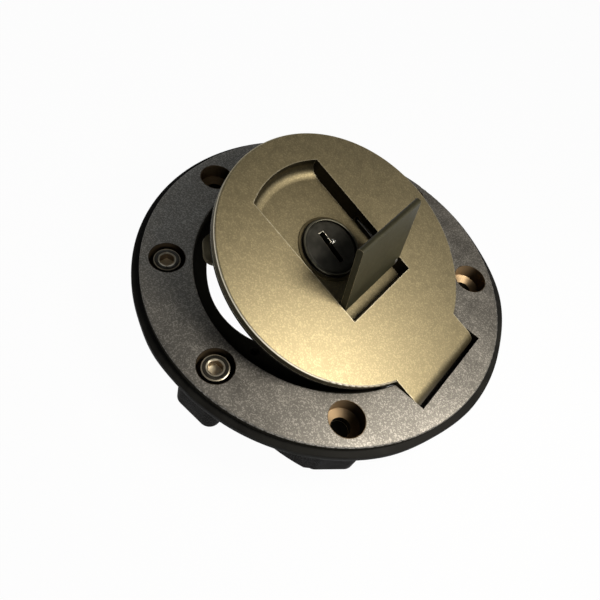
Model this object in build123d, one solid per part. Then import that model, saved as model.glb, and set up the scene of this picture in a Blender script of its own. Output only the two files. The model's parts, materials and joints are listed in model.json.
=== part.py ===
"""Hinged, locking fuel filler cap for a motorcycle tank, in millimetres.

Frame: +Z up out of the tank, +X from the centre of the opening towards the hinge, origin on the
axis of the mounting ring at the level of its feet. Heights are measured down from the top face
of the mounting ring. Pieces of the lid are drawn with the lid closed, then swung open.
"""
from build123d import *
import os
from math import atan2, cos, degrees, hypot, pi, radians, sin

# ---- mounting ring ---------------------------------------------------------------------------
ring_height = 21.5          # top face above the feet of the bosses
opening_radius = 38.9       # filler opening
ledge_width = 4.5           # ledge under the lid
ledge_depth = 4.0           # top face down to the ledge
recess_radius = opening_radius + ledge_width
ring_width = 16.1           # face, from the recess for the lid to its edge
face_radius = recess_radius + ring_width
deck_thickness = 3.5        # ledge and deck plate
lip_thickness = 2.0         # outer lip that overhangs the gasket
lip_overhang = 2.2
seat_radius = face_radius - lip_overhang
edge_round = 0.5
skirt_inner_radius = recess_radius + 0.5
skirt_thickness = 2.2
skirt_depth = 14.5          # top face down to the end of the inner skirt
rim_rib_thickness = 2.0
rim_rib_depth = 11.5

# ---- bolt holes ------------------------------------------------------------------------------
bolt_inset = 8.24           # bolt circle inside the face's edge
bolt_circle_radius = face_radius - bolt_inset
mount_angles = (45, 90, 135, 180, 315)
fixed_bolt_angles = (225, 270)
counterbore_radius = 5.5
counterbore_depth = 5.4
shoulder_drop = 1.3         # height of the conical shoulder under the counterbore
mount_hole_radius = 3.1
boss_width = 16.0
boss_reach = 7.5            # boss beyond the bolt circle
boss_inner_reach = 7.0      # boss inside the bolt circle
boss_corner = 3.5
gusset_length = 19.0
gusset_inset = 0.3          # inside the bosses' outer limit
gusset_angles = (315,)
gusset_thickness = 3.0

# ---- fixed bolts -----------------------------------------------------------------------------
bolt_radius = 2.5
bolt_length = 12.0
bolt_head_radius = 4.25
bolt_head_height = 5.0
bolt_socket_width = 4.0
bolt_socket_depth = 2.6
thread_gap = 0.02

# ---- gasket ----------------------------------------------------------------------------------
gasket_width = 4.5          # deck edge to the gasket's edge
gasket_radius = seat_radius + gasket_width
gasket_thickness = 2.2      # at its sealing bead
gasket_bead_height = 0.4    # bead below the rest of the gasket
gasket_bead_gap = 0.4       # bosses' outermost corners to the bead
gasket_round = 0.6

# ---- hinge -----------------------------------------------------------------------------------
hinge_offset = 2.1          # hinge axis beyond the recess
hinge_x = recess_radius + hinge_offset
hinge_drop = 4.07           # hinge axis below the top face, and radius of the lid's knuckle
pin_radius = 1.5
pin_grip = 5.2              # pin in each side of the notch
pin_running_gap = 0.06
notch_end_gap = 1.13        # beyond the knuckle
notch_outer_x = hinge_x + hinge_drop + notch_end_gap
notch_half_width = 17.3
notch_side_gap = 0.3        # between the tab and each side of the notch
notch_floor_gap = 0.7       # under the knuckle
hinge_floor_thickness = 2.4
hinge_box_wall = 2.4
spring_half_length = 5.4    # coils of the hinge spring, along the pin
spring_wire_radius = 0.4
spring_coil_radius = 2.05
spring_turns = 6.45
spring_leg_length = 8.3
spring_space = 0.5          # room round the spring in the knuckle
spring_side_space = 1.5     # room beside its coils, where the legs lie

# ---- drain: where rain water leaves the ledge --------------------------------------------------
pad_arc_radius = 25.0
pad_half_angle = 37.0
pad_radius = 3.4
drain_hole_radius = 1.4
drain_hole_inset = 0.9      # drain hole inside the opening's edge
drain_hole_angle = 275.0
drain_pipe_wall = 1.1
drain_pipe_end_drop = 18.5

# ---- lid -------------------------------------------------------------------------------------
lid_open_angle = 16.7
lid_gap = 1.2               # between the lid's edge and the recess
lid_radius = recess_radius - lid_gap
lid_thickness = 3.0
lid_edge_round = 0.7

# ---- key pocket in the lid -------------------------------------------------------------------
pocket_margin = 10.2        # lid's edge to the pocket's round end
pocket_radius = lid_radius - pocket_margin
pocket_half_width = 15.0
pocket_end_x = 17.5
pocket_depth = 5.7
pocket_wall = 1.8
scoop_radius = 4.2
side_slot_start_x = -6.0
side_slot_end_x = 13.6
side_slot_top = 2.9

# ---- lock ------------------------------------------------------------------------------------
key_x = -3.8                # lock axis
collar_radius = 11.0        # flange of the lock on the pocket floor
collar_height = 0.35
collar_rim = 1.1            # flange's edge to the raised rim round the plug
rim_drop = 4.0              # top of the rim below the lid's face
rim_round = 0.38
barrel_radius = collar_radius - collar_rim
barrel_step_drop = 12.4
barrel_end_drop = 17.5
plug_face_wall = 0.9        # barrel round the plug's face
plug_face_radius = barrel_radius - plug_face_wall
plug_face_drop = 4.5
plug_face_thickness = 1.9
plug_face_bevel = 1.1       # width of the sloped border of the plug's face
plug_face_slope = 0.4       # its fall
plug_shoulder = 2.0         # plug's face beyond its body
plug_radius = plug_face_radius - plug_shoulder
plug_running_gap = 0.05
barrel_lower_wall = 1.6
barrel_lower_radius = plug_radius + barrel_lower_wall
tail_width = 6.0
tail_end_drop = 20.4
keyway_length = 11.2
keyway_width = 1.9
keyway_depth = 9.0
keyway_lean = -5.0          # keyway direction at the locked stop, from the hinge direction
ball_radius = 0.95
ball_offset_along = -1.2
ball_offset_across = 1.95
wafer_count = 5
wafer_thickness = 1.0
wafer_pitch = 1.7
wafer_width = 4.6
wafer_height = 12.6
wafer_frame = 1.0           # wafer beside its window
wafer_step = 0.6            # window height between one wafer and the next
wafer_first_drop = 8.4
wafer_gap = 0.05

# ---- latch bolts and cam -----------------------------------------------------------------------
latch_angle = 47.0          # each side of the direction away from the hinge
latch_tip_inset = 1.0       # tip inside the lid's edge
latch_tip_radius = lid_radius - latch_tip_inset
latch_travel = 4.6
latch_width = 10.0
latch_top_drop = 13.0
latch_thickness = 3.5
latch_pin_from_axis = 15.2
latch_pin_margin = 1.7      # bolt's inner end to the pin's axis
latch_inner = latch_pin_from_axis - latch_pin_margin
latch_pin_radius = 1.25
latch_ramp = 2.0
latch_tip_round = 3.2
window_offset = 2.0         # pin's axis to the spring window
window_start = latch_pin_from_axis + window_offset
window_length = 12.0
window_width = 3.7
post_thickness = 2.0
slide_gap = 0.15
latch_spring_wire = 0.25
latch_spring_radius = 1.2
latch_spring_coils = 6
cam_margin = 2.0            # cam beyond the pin's axis
cam_radius = latch_pin_from_axis + cam_margin
cam_top_drop = 17.8
cam_thickness = 2.2
cam_slot_gap = 0.12
keeper_half_angle = 8.0
keeper_gap = 0.3            # above the latch bolt with the lid shut

# ---- lock housing ----------------------------------------------------------------------------
housing_clearance = 6.4     # in the opening
housing_radius = opening_radius - housing_clearance
housing_bottom_drop = 20.6
cam_room = 0.6
screw_inset = 6.0
screw_circle_radius = housing_radius - screw_inset
screw_angles = (55, 105, 255, 305)
screw_radius = 2.0
screw_head_radius = 3.4
screw_head_height = 2.2
screw_gap = 0.2
screw_boss_radius = 3.4
screw_tip_drop = 1.6        # screw tip below the lid's face
cross_half_length = 1.8     # cross recess in a screw's head
cross_half_width = 0.4

# ---- closing plate and neck seal ---------------------------------------------------------------
plate_inset = 1.0
plate_radius = housing_radius - plate_inset
plate_thickness = 1.4
hub_radius = 4.5
hub_height = 2.9
seal_gap = 1.6              # beside the screw heads
seal_radius = screw_circle_radius - screw_head_radius - seal_gap
seal_thickness = 3.4
seal_rim_width = 3.0        # seal outside its groove
seal_groove_depth = 1.2
retainer_radius = 13.0
retainer_gap = 0.8          # beside the seal's groove
retainer_thickness = 1.2
centre_screw_radius = 2.5
centre_screw_head_radius = 4.5
centre_screw_head_height = 1.6
centre_screw_length = 4.6
driver_slot_half_length = 3.2
driver_slot_half_width = 0.5

# ---- dust seal -------------------------------------------------------------------------------
dust_seal_offset = 0.5      # beyond the opening
dust_seal_inner = opening_radius + dust_seal_offset
dust_seal_width = 1.9
dust_seal_outer = dust_seal_inner + dust_seal_width
dust_seal_gap = 0.3         # above the ledge with the lid shut

# ---- key flap --------------------------------------------------------------------------------
flap_open_angle = 66.5
flap_pivot_x = 11.85
flap_pivot_drop = 1.6       # and radius of the flap's knuckle
flap_thickness = 2.0
flap_length = 25.95         # pivot to free end
flap_side_gap = 0.4
flap_edge_round = 0.8
flap_pin_radius = 0.9
flap_pin_grip = 1.6         # pin in each side of the pocket
flap_pin_gap = 0.05
flap_spring_wire = 0.3
flap_spring_pitch = 0.69
flap_spring_coils = 3
flap_spring_room = 2.4      # length of the gap in the flap's knuckle for the spring
flap_spring_reach = 3.0     # pin's axis to the bend of the spring's leg


def level(drop):
    """Height of a level that lies drop below the ring's top face."""
    return ring_height - drop


def disc(radius, top_drop, bottom_drop, x=0.0, y=0.0):
    """Upright cylinder between two levels."""
    height = bottom_drop - top_drop
    return Pos(x, y, level(bottom_drop) + height / 2) * Cylinder(radius, height)


def tube(outer, inner, top_drop, bottom_drop, x=0.0, y=0.0):
    """Upright ring between two levels."""
    bore = disc(inner, top_drop - 1, bottom_drop + 1, x, y)
    return disc(outer, top_drop, bottom_drop, x, y) - bore


def block(x_low, x_high, y_half, top_drop, bottom_drop):
    """Box centred on the XZ plane between two levels."""
    height = bottom_drop - top_drop
    centre = Pos((x_low + x_high) / 2, 0, level(bottom_drop) + height / 2)
    return centre * Box(x_high - x_low, 2 * y_half, height)


def upright(face, top_drop, bottom_drop):
    """A flat outline made solid between two levels."""
    solid = extrude(face, bottom_drop - top_drop)
    return Pos(0, 0, level(bottom_drop)) * solid


def across(radius, half_length, x, drop):
    """Cylinder along Y."""
    return Pos(x, 0, level(drop)) * Rot(90, 0, 0) * Cylinder(radius, 2 * half_length)


def polar(radius, angle):
    """Point at a radius and an angle in degrees from the hinge direction."""
    return radius * cos(radians(angle)), radius * sin(radians(angle))


def swing(shape):
    """Carry a piece of the closed lid to its open place."""
    hinge = Axis((hinge_x, 0, level(hinge_drop)), (0, 1, 0))
    return shape.rotate(hinge, lid_open_angle)


# ---- sizes that follow -------------------------------------------------------------------------
deck_bottom = ledge_depth + deck_thickness
gasket_bottom = lip_thickness + gasket_thickness
boss_limit_radius = boss_corner + hypot(bolt_circle_radius + boss_reach - boss_corner,
                                        boss_width / 2 - boss_corner)
hinge_floor = 2 * hinge_drop + notch_floor_gap
tab_half_width = notch_half_width - notch_side_gap
pin_half_length = notch_half_width + pin_grip
pocket_underside = pocket_depth + pocket_wall
flap_pin_half_length = pocket_half_width + flap_pin_grip
latch_bottom = latch_top_drop + latch_thickness
cap_bottom = latch_top_drop - slide_gap
chamber_top = cam_top_drop - slide_gap
plate_bottom = housing_bottom_drop + plate_thickness
seal_bottom = plate_bottom + seal_thickness
latch_tip_x = -latch_tip_radius * cos(radians(latch_angle))
latch_tip_y = latch_tip_radius * sin(radians(latch_angle))
latch_reach = hypot(latch_tip_x - key_x, latch_tip_y)
latch_direction = degrees(atan2(latch_tip_y, latch_tip_x - key_x))
spiral_pitch = latch_travel / (pi / 2)


# ---- mounting ring -----------------------------------------------------------------------------
def ring_body():
    """Turned form of the ring: face, recess, ledge, lip and deck."""
    profile = Polyline(
        (recess_radius, 0), (face_radius, 0), (face_radius, -lip_thickness),
        (seat_radius, -lip_thickness), (seat_radius, -deck_bottom),
        (opening_radius, -deck_bottom), (opening_radius, -ledge_depth),
        (recess_radius, -ledge_depth), close=True)
    face = make_face(Plane.XZ * profile)
    body = revolve(face, Axis.Z)
    rims = body.edges().filter_by(GeomType.CIRCLE).group_by(Axis.Z)[-1]
    body = fillet(rims, edge_round)
    return Pos(0, 0, ring_height) * body


def bolt_boss(angle):
    """Rounded square boss round one bolt hole, down to the foot plane."""
    outline = RectangleRounded(boss_reach + boss_inner_reach, boss_width, boss_corner)
    x = bolt_circle_radius + (boss_reach - boss_inner_reach) / 2
    return Rot(0, 0, angle) * upright(Pos(x, 0) * outline, gasket_bottom, ring_height)


def gusset(angle):
    """Curved triangular web from a boss's foot up to the deck, on the side away from the hinge."""
    side = -boss_width / 2
    web = Polyline((side + boss_corner, -gasket_bottom), (side - gusset_length, -gasket_bottom),
                   (side, -ring_height), (side + boss_corner, -ring_height), close=True)
    outer = boss_limit_radius - gusset_inset
    plate = Pos(0, 0, ring_height) * extrude(make_face(Plane.YZ * web), outer)
    wall = tube(outer, outer - gusset_thickness, gasket_bottom, ring_height)
    return Rot(0, 0, angle) * (plate & wall)


def bolt_hole(angle, hole_radius, bottom_drop):
    """Counterbore, conical shoulder and hole, to subtract."""
    shoulder = counterbore_depth + shoulder_drop
    profile = Polyline(
        (0, 1), (counterbore_radius, 1), (counterbore_radius, -counterbore_depth),
        (hole_radius, -shoulder), (hole_radius, -bottom_drop), (0, -bottom_drop), close=True)
    cutter = revolve(make_face(Plane.XZ * profile), Axis.Z)
    x, y = polar(bolt_circle_radius, angle)
    return Pos(x, y, ring_height) * cutter


def drain_pad():
    """Pad and pipe of the drain hole, faired into the ledge on both sides."""
    pad = upright(Circle((opening_radius + recess_radius) / 2), ledge_depth, deck_bottom)
    for side in (-1, 1):
        x, y = polar(opening_radius - pad_arc_radius, drain_hole_angle + side * pad_half_angle)
        pad -= disc(pad_arc_radius, 0, ring_height, x, y)
    half = opening_radius * sin(radians(pad_half_angle))
    pad &= Rot(0, 0, drain_hole_angle) * block(0, face_radius, half, 0, ring_height)
    x, y = polar(opening_radius - drain_hole_inset, drain_hole_angle)
    pipe = disc(drain_hole_radius + drain_pipe_wall, ledge_depth, drain_pipe_end_drop, x, y)
    return pad + disc(pad_radius, ledge_depth, deck_bottom, x, y) + pipe


def keeper(angle):
    """Pad under the ledge that a latch bolt catches behind."""
    bottom = latch_top_drop - keeper_gap
    sector = tube(skirt_inner_radius + skirt_thickness / 2, opening_radius, deck_bottom, bottom)
    half = (skirt_inner_radius + skirt_thickness) * sin(radians(keeper_half_angle))
    window = Rot(0, 0, angle) * block(0, face_radius, half, deck_bottom, bottom)
    return sector & window


def mounting_ring():
    """Cast ring that bolts to the tank and carries the hinge."""
    skirt = tube(skirt_inner_radius + skirt_thickness, skirt_inner_radius, deck_bottom, skirt_depth)
    rib = tube(seat_radius, seat_radius - rim_rib_thickness, deck_bottom, rim_rib_depth)
    box_end = notch_outer_x + hinge_box_wall
    box_half = notch_half_width + hinge_box_wall
    floor_bottom = hinge_floor + hinge_floor_thickness
    hinge_box = block(opening_radius + 1, box_end, box_half, deck_bottom, floor_bottom)
    body = ring_body() + skirt + rib + hinge_box + drain_pad()
    for angle in mount_angles + fixed_bolt_angles:
        body += bolt_boss(angle)
    for angle in gusset_angles:
        body += gusset(angle)
    for side in (-1, 1):
        body += keeper(180 + side * latch_angle)
    body -= block(0, notch_outer_x, notch_half_width, -1, hinge_floor) - disc(
        recess_radius - hinge_drop, -2, hinge_floor + 1)
    body -= across(pin_radius + thread_gap, pin_half_length, hinge_x, hinge_drop)
    for angle in mount_angles:
        body -= bolt_hole(angle, mount_hole_radius, ring_height + 1)
    for angle in fixed_bolt_angles:
        depth = counterbore_depth + shoulder_drop + bolt_length + 1
        body -= bolt_hole(angle, bolt_radius + thread_gap, depth)
    x, y = polar(opening_radius - drain_hole_inset, drain_hole_angle)
    body -= disc(drain_hole_radius, ledge_depth - 1, drain_pipe_end_drop + 1, x, y)
    return body


def rim_gasket():
    """Rubber ring under the lip, with the bead that is squeezed on the tank round the bosses."""
    bead_inner = boss_limit_radius + gasket_bead_gap
    relief_drop = gasket_bottom - gasket_bead_height
    ring = tube(gasket_radius, seat_radius, lip_thickness, gasket_bottom)
    outer = ring.edges().filter_by(GeomType.CIRCLE).sort_by(SortBy.RADIUS)[-2:]
    return fillet(outer, gasket_round) - disc(bead_inner, relief_drop, gasket_bottom + 1)


def socket_bolt(angle):
    """One socket head screw."""
    seat = counterbore_depth + shoulder_drop
    shoulder_radius = bolt_radius + thread_gap
    slope = (counterbore_radius - shoulder_radius) / shoulder_drop
    head_bottom = counterbore_depth + (counterbore_radius - bolt_head_radius) / slope
    x, y = polar(bolt_circle_radius, angle)
    head = disc(bolt_head_radius, head_bottom - bolt_head_height, head_bottom, x, y)
    head = fillet(head.edges().group_by(Axis.Z)[-1], edge_round)
    hexagon = RegularPolygon(bolt_socket_width / 2, 6, major_radius=False)
    top = head_bottom - bolt_head_height
    socket = upright(Pos(x, y) * hexagon, top - 1, top + bolt_socket_depth)
    shank = disc(bolt_radius, head_bottom, seat + bolt_length, x, y)
    return head + shank - socket


def hinge_pin():
    """Steel pin through both sides of the notch."""
    return across(pin_radius, pin_half_length, hinge_x, hinge_drop)


def hinge_spring():
    """Torsion spring round the pin, one leg under the shut lid and one on the notch floor."""
    pitch = (2 * spring_half_length - 2 * spring_wire_radius) / spring_turns
    coil = Helix(pitch, pitch * spring_turns, spring_coil_radius)
    upper_end = coil @ 0 - (coil % 0) * spring_leg_length
    lower_end = coil @ 1 + (coil % 1) * spring_leg_length
    wire = Line(upper_end, coil @ 0) + coil + Line(coil @ 1, lower_end)
    section = Plane(upper_end, z_dir=coil % 0) * Circle(spring_wire_radius)
    spring = Pos(0, 0, -pitch * spring_turns / 2) * sweep(section, path=wire)
    return Pos(hinge_x, 0, level(hinge_drop)) * Rot(-90, 0, 0) * Rot(0, 0, -90) * spring


# ---- lid ---------------------------------------------------------------------------------------
def pocket_outline(grow):
    """D-shaped outline of the key pocket, grown by a wall."""
    radius = pocket_radius + grow
    half = pocket_half_width + grow
    strip = Pos((pocket_end_x + grow - radius) / 2, 0) * Rectangle(radius + pocket_end_x + grow,
                                                                   2 * half)
    return Circle(radius) & strip


def pocket_cutter():
    """Room of the key pocket, with the finger scoop rounded at its far end."""
    room = upright(pocket_outline(0), -1, pocket_depth)
    floor_edges = room.edges().group_by(Axis.Z)[0]
    scoop = floor_edges.filter_by(GeomType.CIRCLE)
    return fillet(scoop, scoop_radius)


def lid_plate():
    """Cast lid with its hinge tab, key pocket and screw bosses."""
    plate = disc(lid_radius, 0, lid_thickness)
    plate += block(0, hinge_x, tab_half_width, 0, lid_thickness)
    top_edges = plate.edges().group_by(Axis.Z)[-1].filter_by(GeomType.CIRCLE)
    plate = fillet(top_edges, lid_edge_round)
    plate += across(hinge_drop, tab_half_width, hinge_x, hinge_drop)
    plate += upright(pocket_outline(pocket_wall), lid_thickness / 2, pocket_underside)
    for angle in screw_angles:
        x, y = polar(screw_circle_radius, angle)
        plate += disc(screw_boss_radius, lid_thickness / 2, pocket_underside, x, y)
    plate -= pocket_cutter()
    plate -= disc(barrel_radius + plug_running_gap, 0, pocket_underside + 1, key_x)
    for angle in screw_angles:
        x, y = polar(screw_circle_radius, angle)
        plate -= disc(screw_radius + thread_gap, screw_tip_drop, pocket_underside + 1, x, y)
    slot = block(side_slot_start_x, side_slot_end_x, pocket_wall, side_slot_top, pocket_depth)
    plate -= Pos(0, pocket_half_width + pocket_wall / 2, 0) * slot
    pin_hole = across(flap_pin_radius + thread_gap, flap_pin_half_length + thread_gap,
                      flap_pivot_x, flap_pivot_drop)
    plate -= pin_hole
    plate -= across(pin_radius + pin_running_gap, tab_half_width + 1, hinge_x, hinge_drop)
    room = spring_coil_radius + spring_wire_radius + spring_space
    half = spring_half_length + spring_side_space
    plate -= across(room, half, hinge_x, hinge_drop)
    window = block(hinge_x - spring_leg_length - room, hinge_x + hinge_drop + 1, half,
                   hinge_drop, 2 * hinge_drop + 1)
    relief = block(hinge_x - spring_leg_length - room, hinge_x, half,
                   lid_thickness / 2, 2 * hinge_drop + 1)
    return plate - window - relief


def dust_seal():
    """Thin rubber ring under the edge of the lid."""
    seal = tube(dust_seal_outer, dust_seal_inner, lid_thickness, ledge_depth - dust_seal_gap)
    tab_room = block(0, hinge_x, notch_half_width, lid_thickness - 1, ledge_depth + 1)
    return seal - tab_room


def lock_barrel():
    """Fixed barrel of the lock, with a flange on the pocket floor and a rim round the plug."""
    profile = Polyline(
        (plug_face_radius + plug_running_gap, -rim_drop), (barrel_radius, -rim_drop),
        (barrel_radius, collar_height - pocket_depth),
        (collar_radius, collar_height - pocket_depth),
        (collar_radius, -pocket_depth), (barrel_radius, -pocket_depth),
        (barrel_radius, -barrel_step_drop), (barrel_lower_radius, -barrel_step_drop),
        (barrel_lower_radius, -barrel_end_drop),
        (plug_radius + plug_running_gap, -barrel_end_drop),
        (plug_radius + plug_running_gap, -plug_face_drop - plug_face_thickness),
        (plug_face_radius + plug_running_gap, -plug_face_drop - plug_face_thickness), close=True)
    body = revolve(make_face(Plane.XZ * profile), Axis.Z)
    rims = body.edges().group_by(Axis.Z)[-1]
    body = fillet(rims, rim_round)
    return Pos(key_x, 0, ring_height) * body


def in_keyway(shape):
    """Turn a shape drawn along +X at the lock axis into the keyway's direction."""
    return Pos(key_x, 0, 0) * Rot(0, 0, keyway_lean) * shape


def key_plug():
    """Turning plug with its keyway and the square tail for the cam."""
    face_bottom = plug_face_drop + plug_face_thickness
    plug = disc(plug_face_radius, plug_face_drop, face_bottom)
    face = plug.faces().sort_by(Axis.Z)[-1]
    plug = chamfer(face.edges(), plug_face_bevel, plug_face_slope, reference=face)
    plug += disc(plug_radius, face_bottom, barrel_end_drop)
    plug += block(-tail_width / 2, tail_width / 2, tail_width / 2, barrel_end_drop, tail_end_drop)
    half = keyway_width / 2
    plug -= block(-keyway_length / 2, keyway_length / 2, half, 0, plug_face_drop + keyway_depth)
    plug -= disc(ball_radius + thread_gap, 0, plug_face_drop + ball_radius,
                 ball_offset_along, ball_offset_across)
    for slot in wafer_slots(wafer_gap):
        plug -= slot
    return in_keyway(plug)


def wafer_slots(gap):
    """Room of each wafer in the plug, across the keyway."""
    slots = []
    for index in range(wafer_count):
        top = wafer_first_drop + index * wafer_pitch
        room = block(-wafer_width / 2 - gap, wafer_width / 2 + gap, wafer_height / 2 + gap,
                     top - gap, top + wafer_thickness + gap)
        slots.append(room)
    return slots


def tumbler_wafers():
    """Flat brass wafers with a window for the key."""
    wafers = []
    half = wafer_width / 2 - wafer_frame
    for index, wafer in enumerate(wafer_slots(0)):
        window_half = keyway_width + (index % 2) * wafer_step
        window = block(-half, half, window_half, 0, tail_end_drop)
        wafers.append(in_keyway(wafer - window))
    return wafers


def keyway_ball():
    """Small steel ball beside the keyway that marks the locked position."""
    ball = Pos(ball_offset_along, ball_offset_across, level(plug_face_drop + ball_radius / 4))
    cup = disc(ball_radius, 0, plug_face_drop + ball_radius, ball_offset_along,
               ball_offset_across)
    return in_keyway(ball * Sphere(ball_radius) & cup)


# ---- latch -------------------------------------------------------------------------------------
def along_latch(shape, side):
    """Carry a shape drawn along +X from the lock axis to one latch direction."""
    return Pos(key_x, 0, 0) * Rot(0, 0, side * latch_direction) * shape


def latch_bolt(side):
    """Sliding bolt with a ramp at its tip, a spring window and a drive pin."""
    bar = block(latch_inner, latch_reach, latch_width / 2, latch_top_drop, latch_bottom)
    corners = bar.edges().filter_by(Axis.Z).group_by(Axis.X)[-1]
    bar = fillet(corners, latch_tip_round)
    nose = bar.edges().filter_by(GeomType.LINE).filter_by(Axis.Y)
    bar = chamfer(nose.group_by(Axis.X)[-1].sort_by(Axis.Z)[0], latch_ramp)
    bar -= block(window_start, window_start + window_length, window_width / 2,
                 latch_top_drop - 1, latch_bottom + 1)
    pin_bottom = cam_top_drop + cam_thickness
    bar += disc(latch_pin_radius, latch_bottom, pin_bottom, latch_pin_from_axis)
    return along_latch(bar, side)


def latch_spring(side):
    """Compression spring between the housing's post and the bolt's window."""
    start = window_start + slide_gap + post_thickness
    length = window_start + window_length - start - 2 * latch_spring_wire
    path = Helix(length / latch_spring_coils, length, latch_spring_radius)
    section = Plane(path @ 0, z_dir=path % 0) * Circle(latch_spring_wire)
    coil = Rot(0, 90, 0) * sweep(section, path=path)
    middle = level(latch_top_drop + latch_thickness / 2)
    return along_latch(Pos(start + latch_spring_wire, 0, middle) * coil, side)


def spiral_slot(side):
    """Cam slot that draws one latch pin in by its travel over a quarter turn."""
    half = latch_pin_radius + cam_slot_gap
    steps = 8
    outer, inner = [], []
    for index in range(steps + 1):
        turn = index / steps * pi / 2
        angle = side * latch_direction + degrees(turn)
        reach = latch_pin_from_axis - spiral_pitch * turn
        outer.append(Vector(*polar(reach + half, angle)))
        inner.append(Vector(*polar(reach - half, angle)))
    first = polar(latch_pin_from_axis, side * latch_direction)
    last = polar(latch_pin_from_axis - latch_travel, side * latch_direction + 90)
    outline = Spline(*outer) + Line(outer[-1], inner[-1]) + Spline(*reversed(inner))
    outline += Line(inner[0], outer[0])
    face = make_face(outline) + Pos(*first) * Circle(half) + Pos(*last) * Circle(half)
    return upright(face, cam_top_drop - 1, cam_top_drop + cam_thickness + 1)


def latch_cam():
    """Cam plate on the plug's tail."""
    cam = disc(cam_radius, cam_top_drop, cam_top_drop + cam_thickness)
    for side in (-1, 1):
        cam -= spiral_slot(side)
    half = tail_width / 2 + thread_gap
    square = block(-half, half, half, cam_top_drop - 1, cam_top_drop + cam_thickness + 1)
    cam -= Rot(0, 0, keyway_lean) * square
    return Pos(key_x, 0, 0) * cam


def bolt_channel():
    """Room for one latch bolt in the housing, with the spring post left standing."""
    bottom = latch_bottom + slide_gap
    start = latch_inner - latch_travel - slide_gap
    half = latch_width / 2 + slide_gap
    channel = block(start, latch_reach, half, cap_bottom - 1, bottom)
    post_start = window_start + slide_gap
    post = block(post_start, post_start + post_thickness, window_width / 2 - slide_gap,
                 cap_bottom, bottom)
    pin_start = latch_pin_from_axis - latch_travel - latch_pin_radius - slide_gap
    pin_end = latch_pin_from_axis + latch_pin_radius + slide_gap
    pin_room = block(pin_start, pin_end, latch_pin_radius + slide_gap, bottom - 1, chamber_top + 1)
    return channel - post + pin_room


def screw_holes(top_drop, bottom_drop):
    """Clearance holes for the housing screws."""
    holes = []
    for angle in screw_angles:
        x, y = polar(screw_circle_radius, angle)
        holes.append(disc(screw_radius + screw_gap, top_drop, bottom_drop, x, y))
    return holes


def housing_cap():
    """Upper half of the lock housing, between the pocket and the latch bolts."""
    cap = disc(housing_radius, pocket_underside, cap_bottom)
    cap = fillet(cap.edges().group_by(Axis.Z)[-1], 2 * edge_round)
    cap -= disc(barrel_radius + plug_running_gap, 0, cap_bottom + 1, key_x)
    for hole in screw_holes(0, cap_bottom + 1):
        cap -= hole
    return cap


def lock_housing():
    """Lower half of the lock housing, with the bolt channels and the cam chamber."""
    body = disc(housing_radius, cap_bottom, housing_bottom_drop)
    body = fillet(body.edges().group_by(Axis.Z)[0], 2 * edge_round)
    body -= disc(barrel_lower_radius + plug_running_gap, 0, housing_bottom_drop + 1, key_x)
    body -= disc(cam_radius + cam_room, chamber_top, housing_bottom_drop + 1, key_x)
    for side in (-1, 1):
        body -= along_latch(bolt_channel(), side)
    for hole in screw_holes(0, housing_bottom_drop + 1):
        body -= hole
    return body


def housing_screw(angle):
    """Pan head screw from the closing plate up into the lid."""
    x, y = polar(screw_circle_radius, angle)
    head = disc(screw_head_radius, plate_bottom, plate_bottom + screw_head_height, x, y)
    head = fillet(head.edges().group_by(Axis.Z)[0], edge_round)
    bottom = plate_bottom + screw_head_height
    cross = block(-cross_half_length, cross_half_length, cross_half_width, bottom - 1, bottom + 1)
    cross += Rot(0, 0, 90) * cross
    shank = disc(screw_radius, screw_tip_drop + edge_round, plate_bottom, x, y)
    return head + shank - Pos(x, y, 0) * cross


def closing_plate():
    """Pressed plate that closes the housing and carries the neck seal."""
    plate = disc(plate_radius, housing_bottom_drop, plate_bottom)
    plate += disc(hub_radius, plate_bottom, plate_bottom + hub_height)
    for hole in screw_holes(0, plate_bottom + 1):
        plate -= hole
    depth = plate_bottom + hub_height + 1
    return plate - disc(centre_screw_radius + thread_gap, housing_bottom_drop, depth)


def neck_seal():
    """Rubber washer that closes the tank's filler neck."""
    seal = tube(seal_radius, hub_radius, plate_bottom, seal_bottom)
    groove = tube(seal_radius - seal_rim_width, retainer_radius + retainer_gap,
                  seal_bottom - seal_groove_depth, seal_bottom + 1)
    outer = seal.edges().filter_by(GeomType.CIRCLE).group_by(SortBy.RADIUS)[-1]
    return fillet(outer, edge_round) - groove


def seal_retainer():
    """Dished washer that holds the neck seal."""
    washer = disc(retainer_radius, seal_bottom, seal_bottom + retainer_thickness)
    washer = fillet(washer.edges().group_by(Axis.Z)[0], edge_round)
    bottom = seal_bottom + retainer_thickness
    return washer - disc(centre_screw_radius + screw_gap, seal_bottom - 1, bottom + 1)


def centre_screw():
    """Flat head screw that holds the retainer to the plate's hub."""
    head_top = seal_bottom + retainer_thickness
    head = disc(centre_screw_head_radius, head_top, head_top + centre_screw_head_height)
    head = fillet(head.edges().group_by(Axis.Z)[0], edge_round)
    head -= block(-driver_slot_half_length, driver_slot_half_length, driver_slot_half_width,
                  head_top + centre_screw_head_height / 2, head_top + centre_screw_head_height + 1)
    return head + disc(centre_screw_radius, head_top - centre_screw_length, head_top)


# ---- key flap ----------------------------------------------------------------------------------
def open_flap(shape):
    """Carry the closed flap to its open place in the closed lid."""
    pivot = Axis((flap_pivot_x, 0, level(flap_pivot_drop)), (0, 1, 0))
    return shape.rotate(pivot, flap_open_angle)


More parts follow.
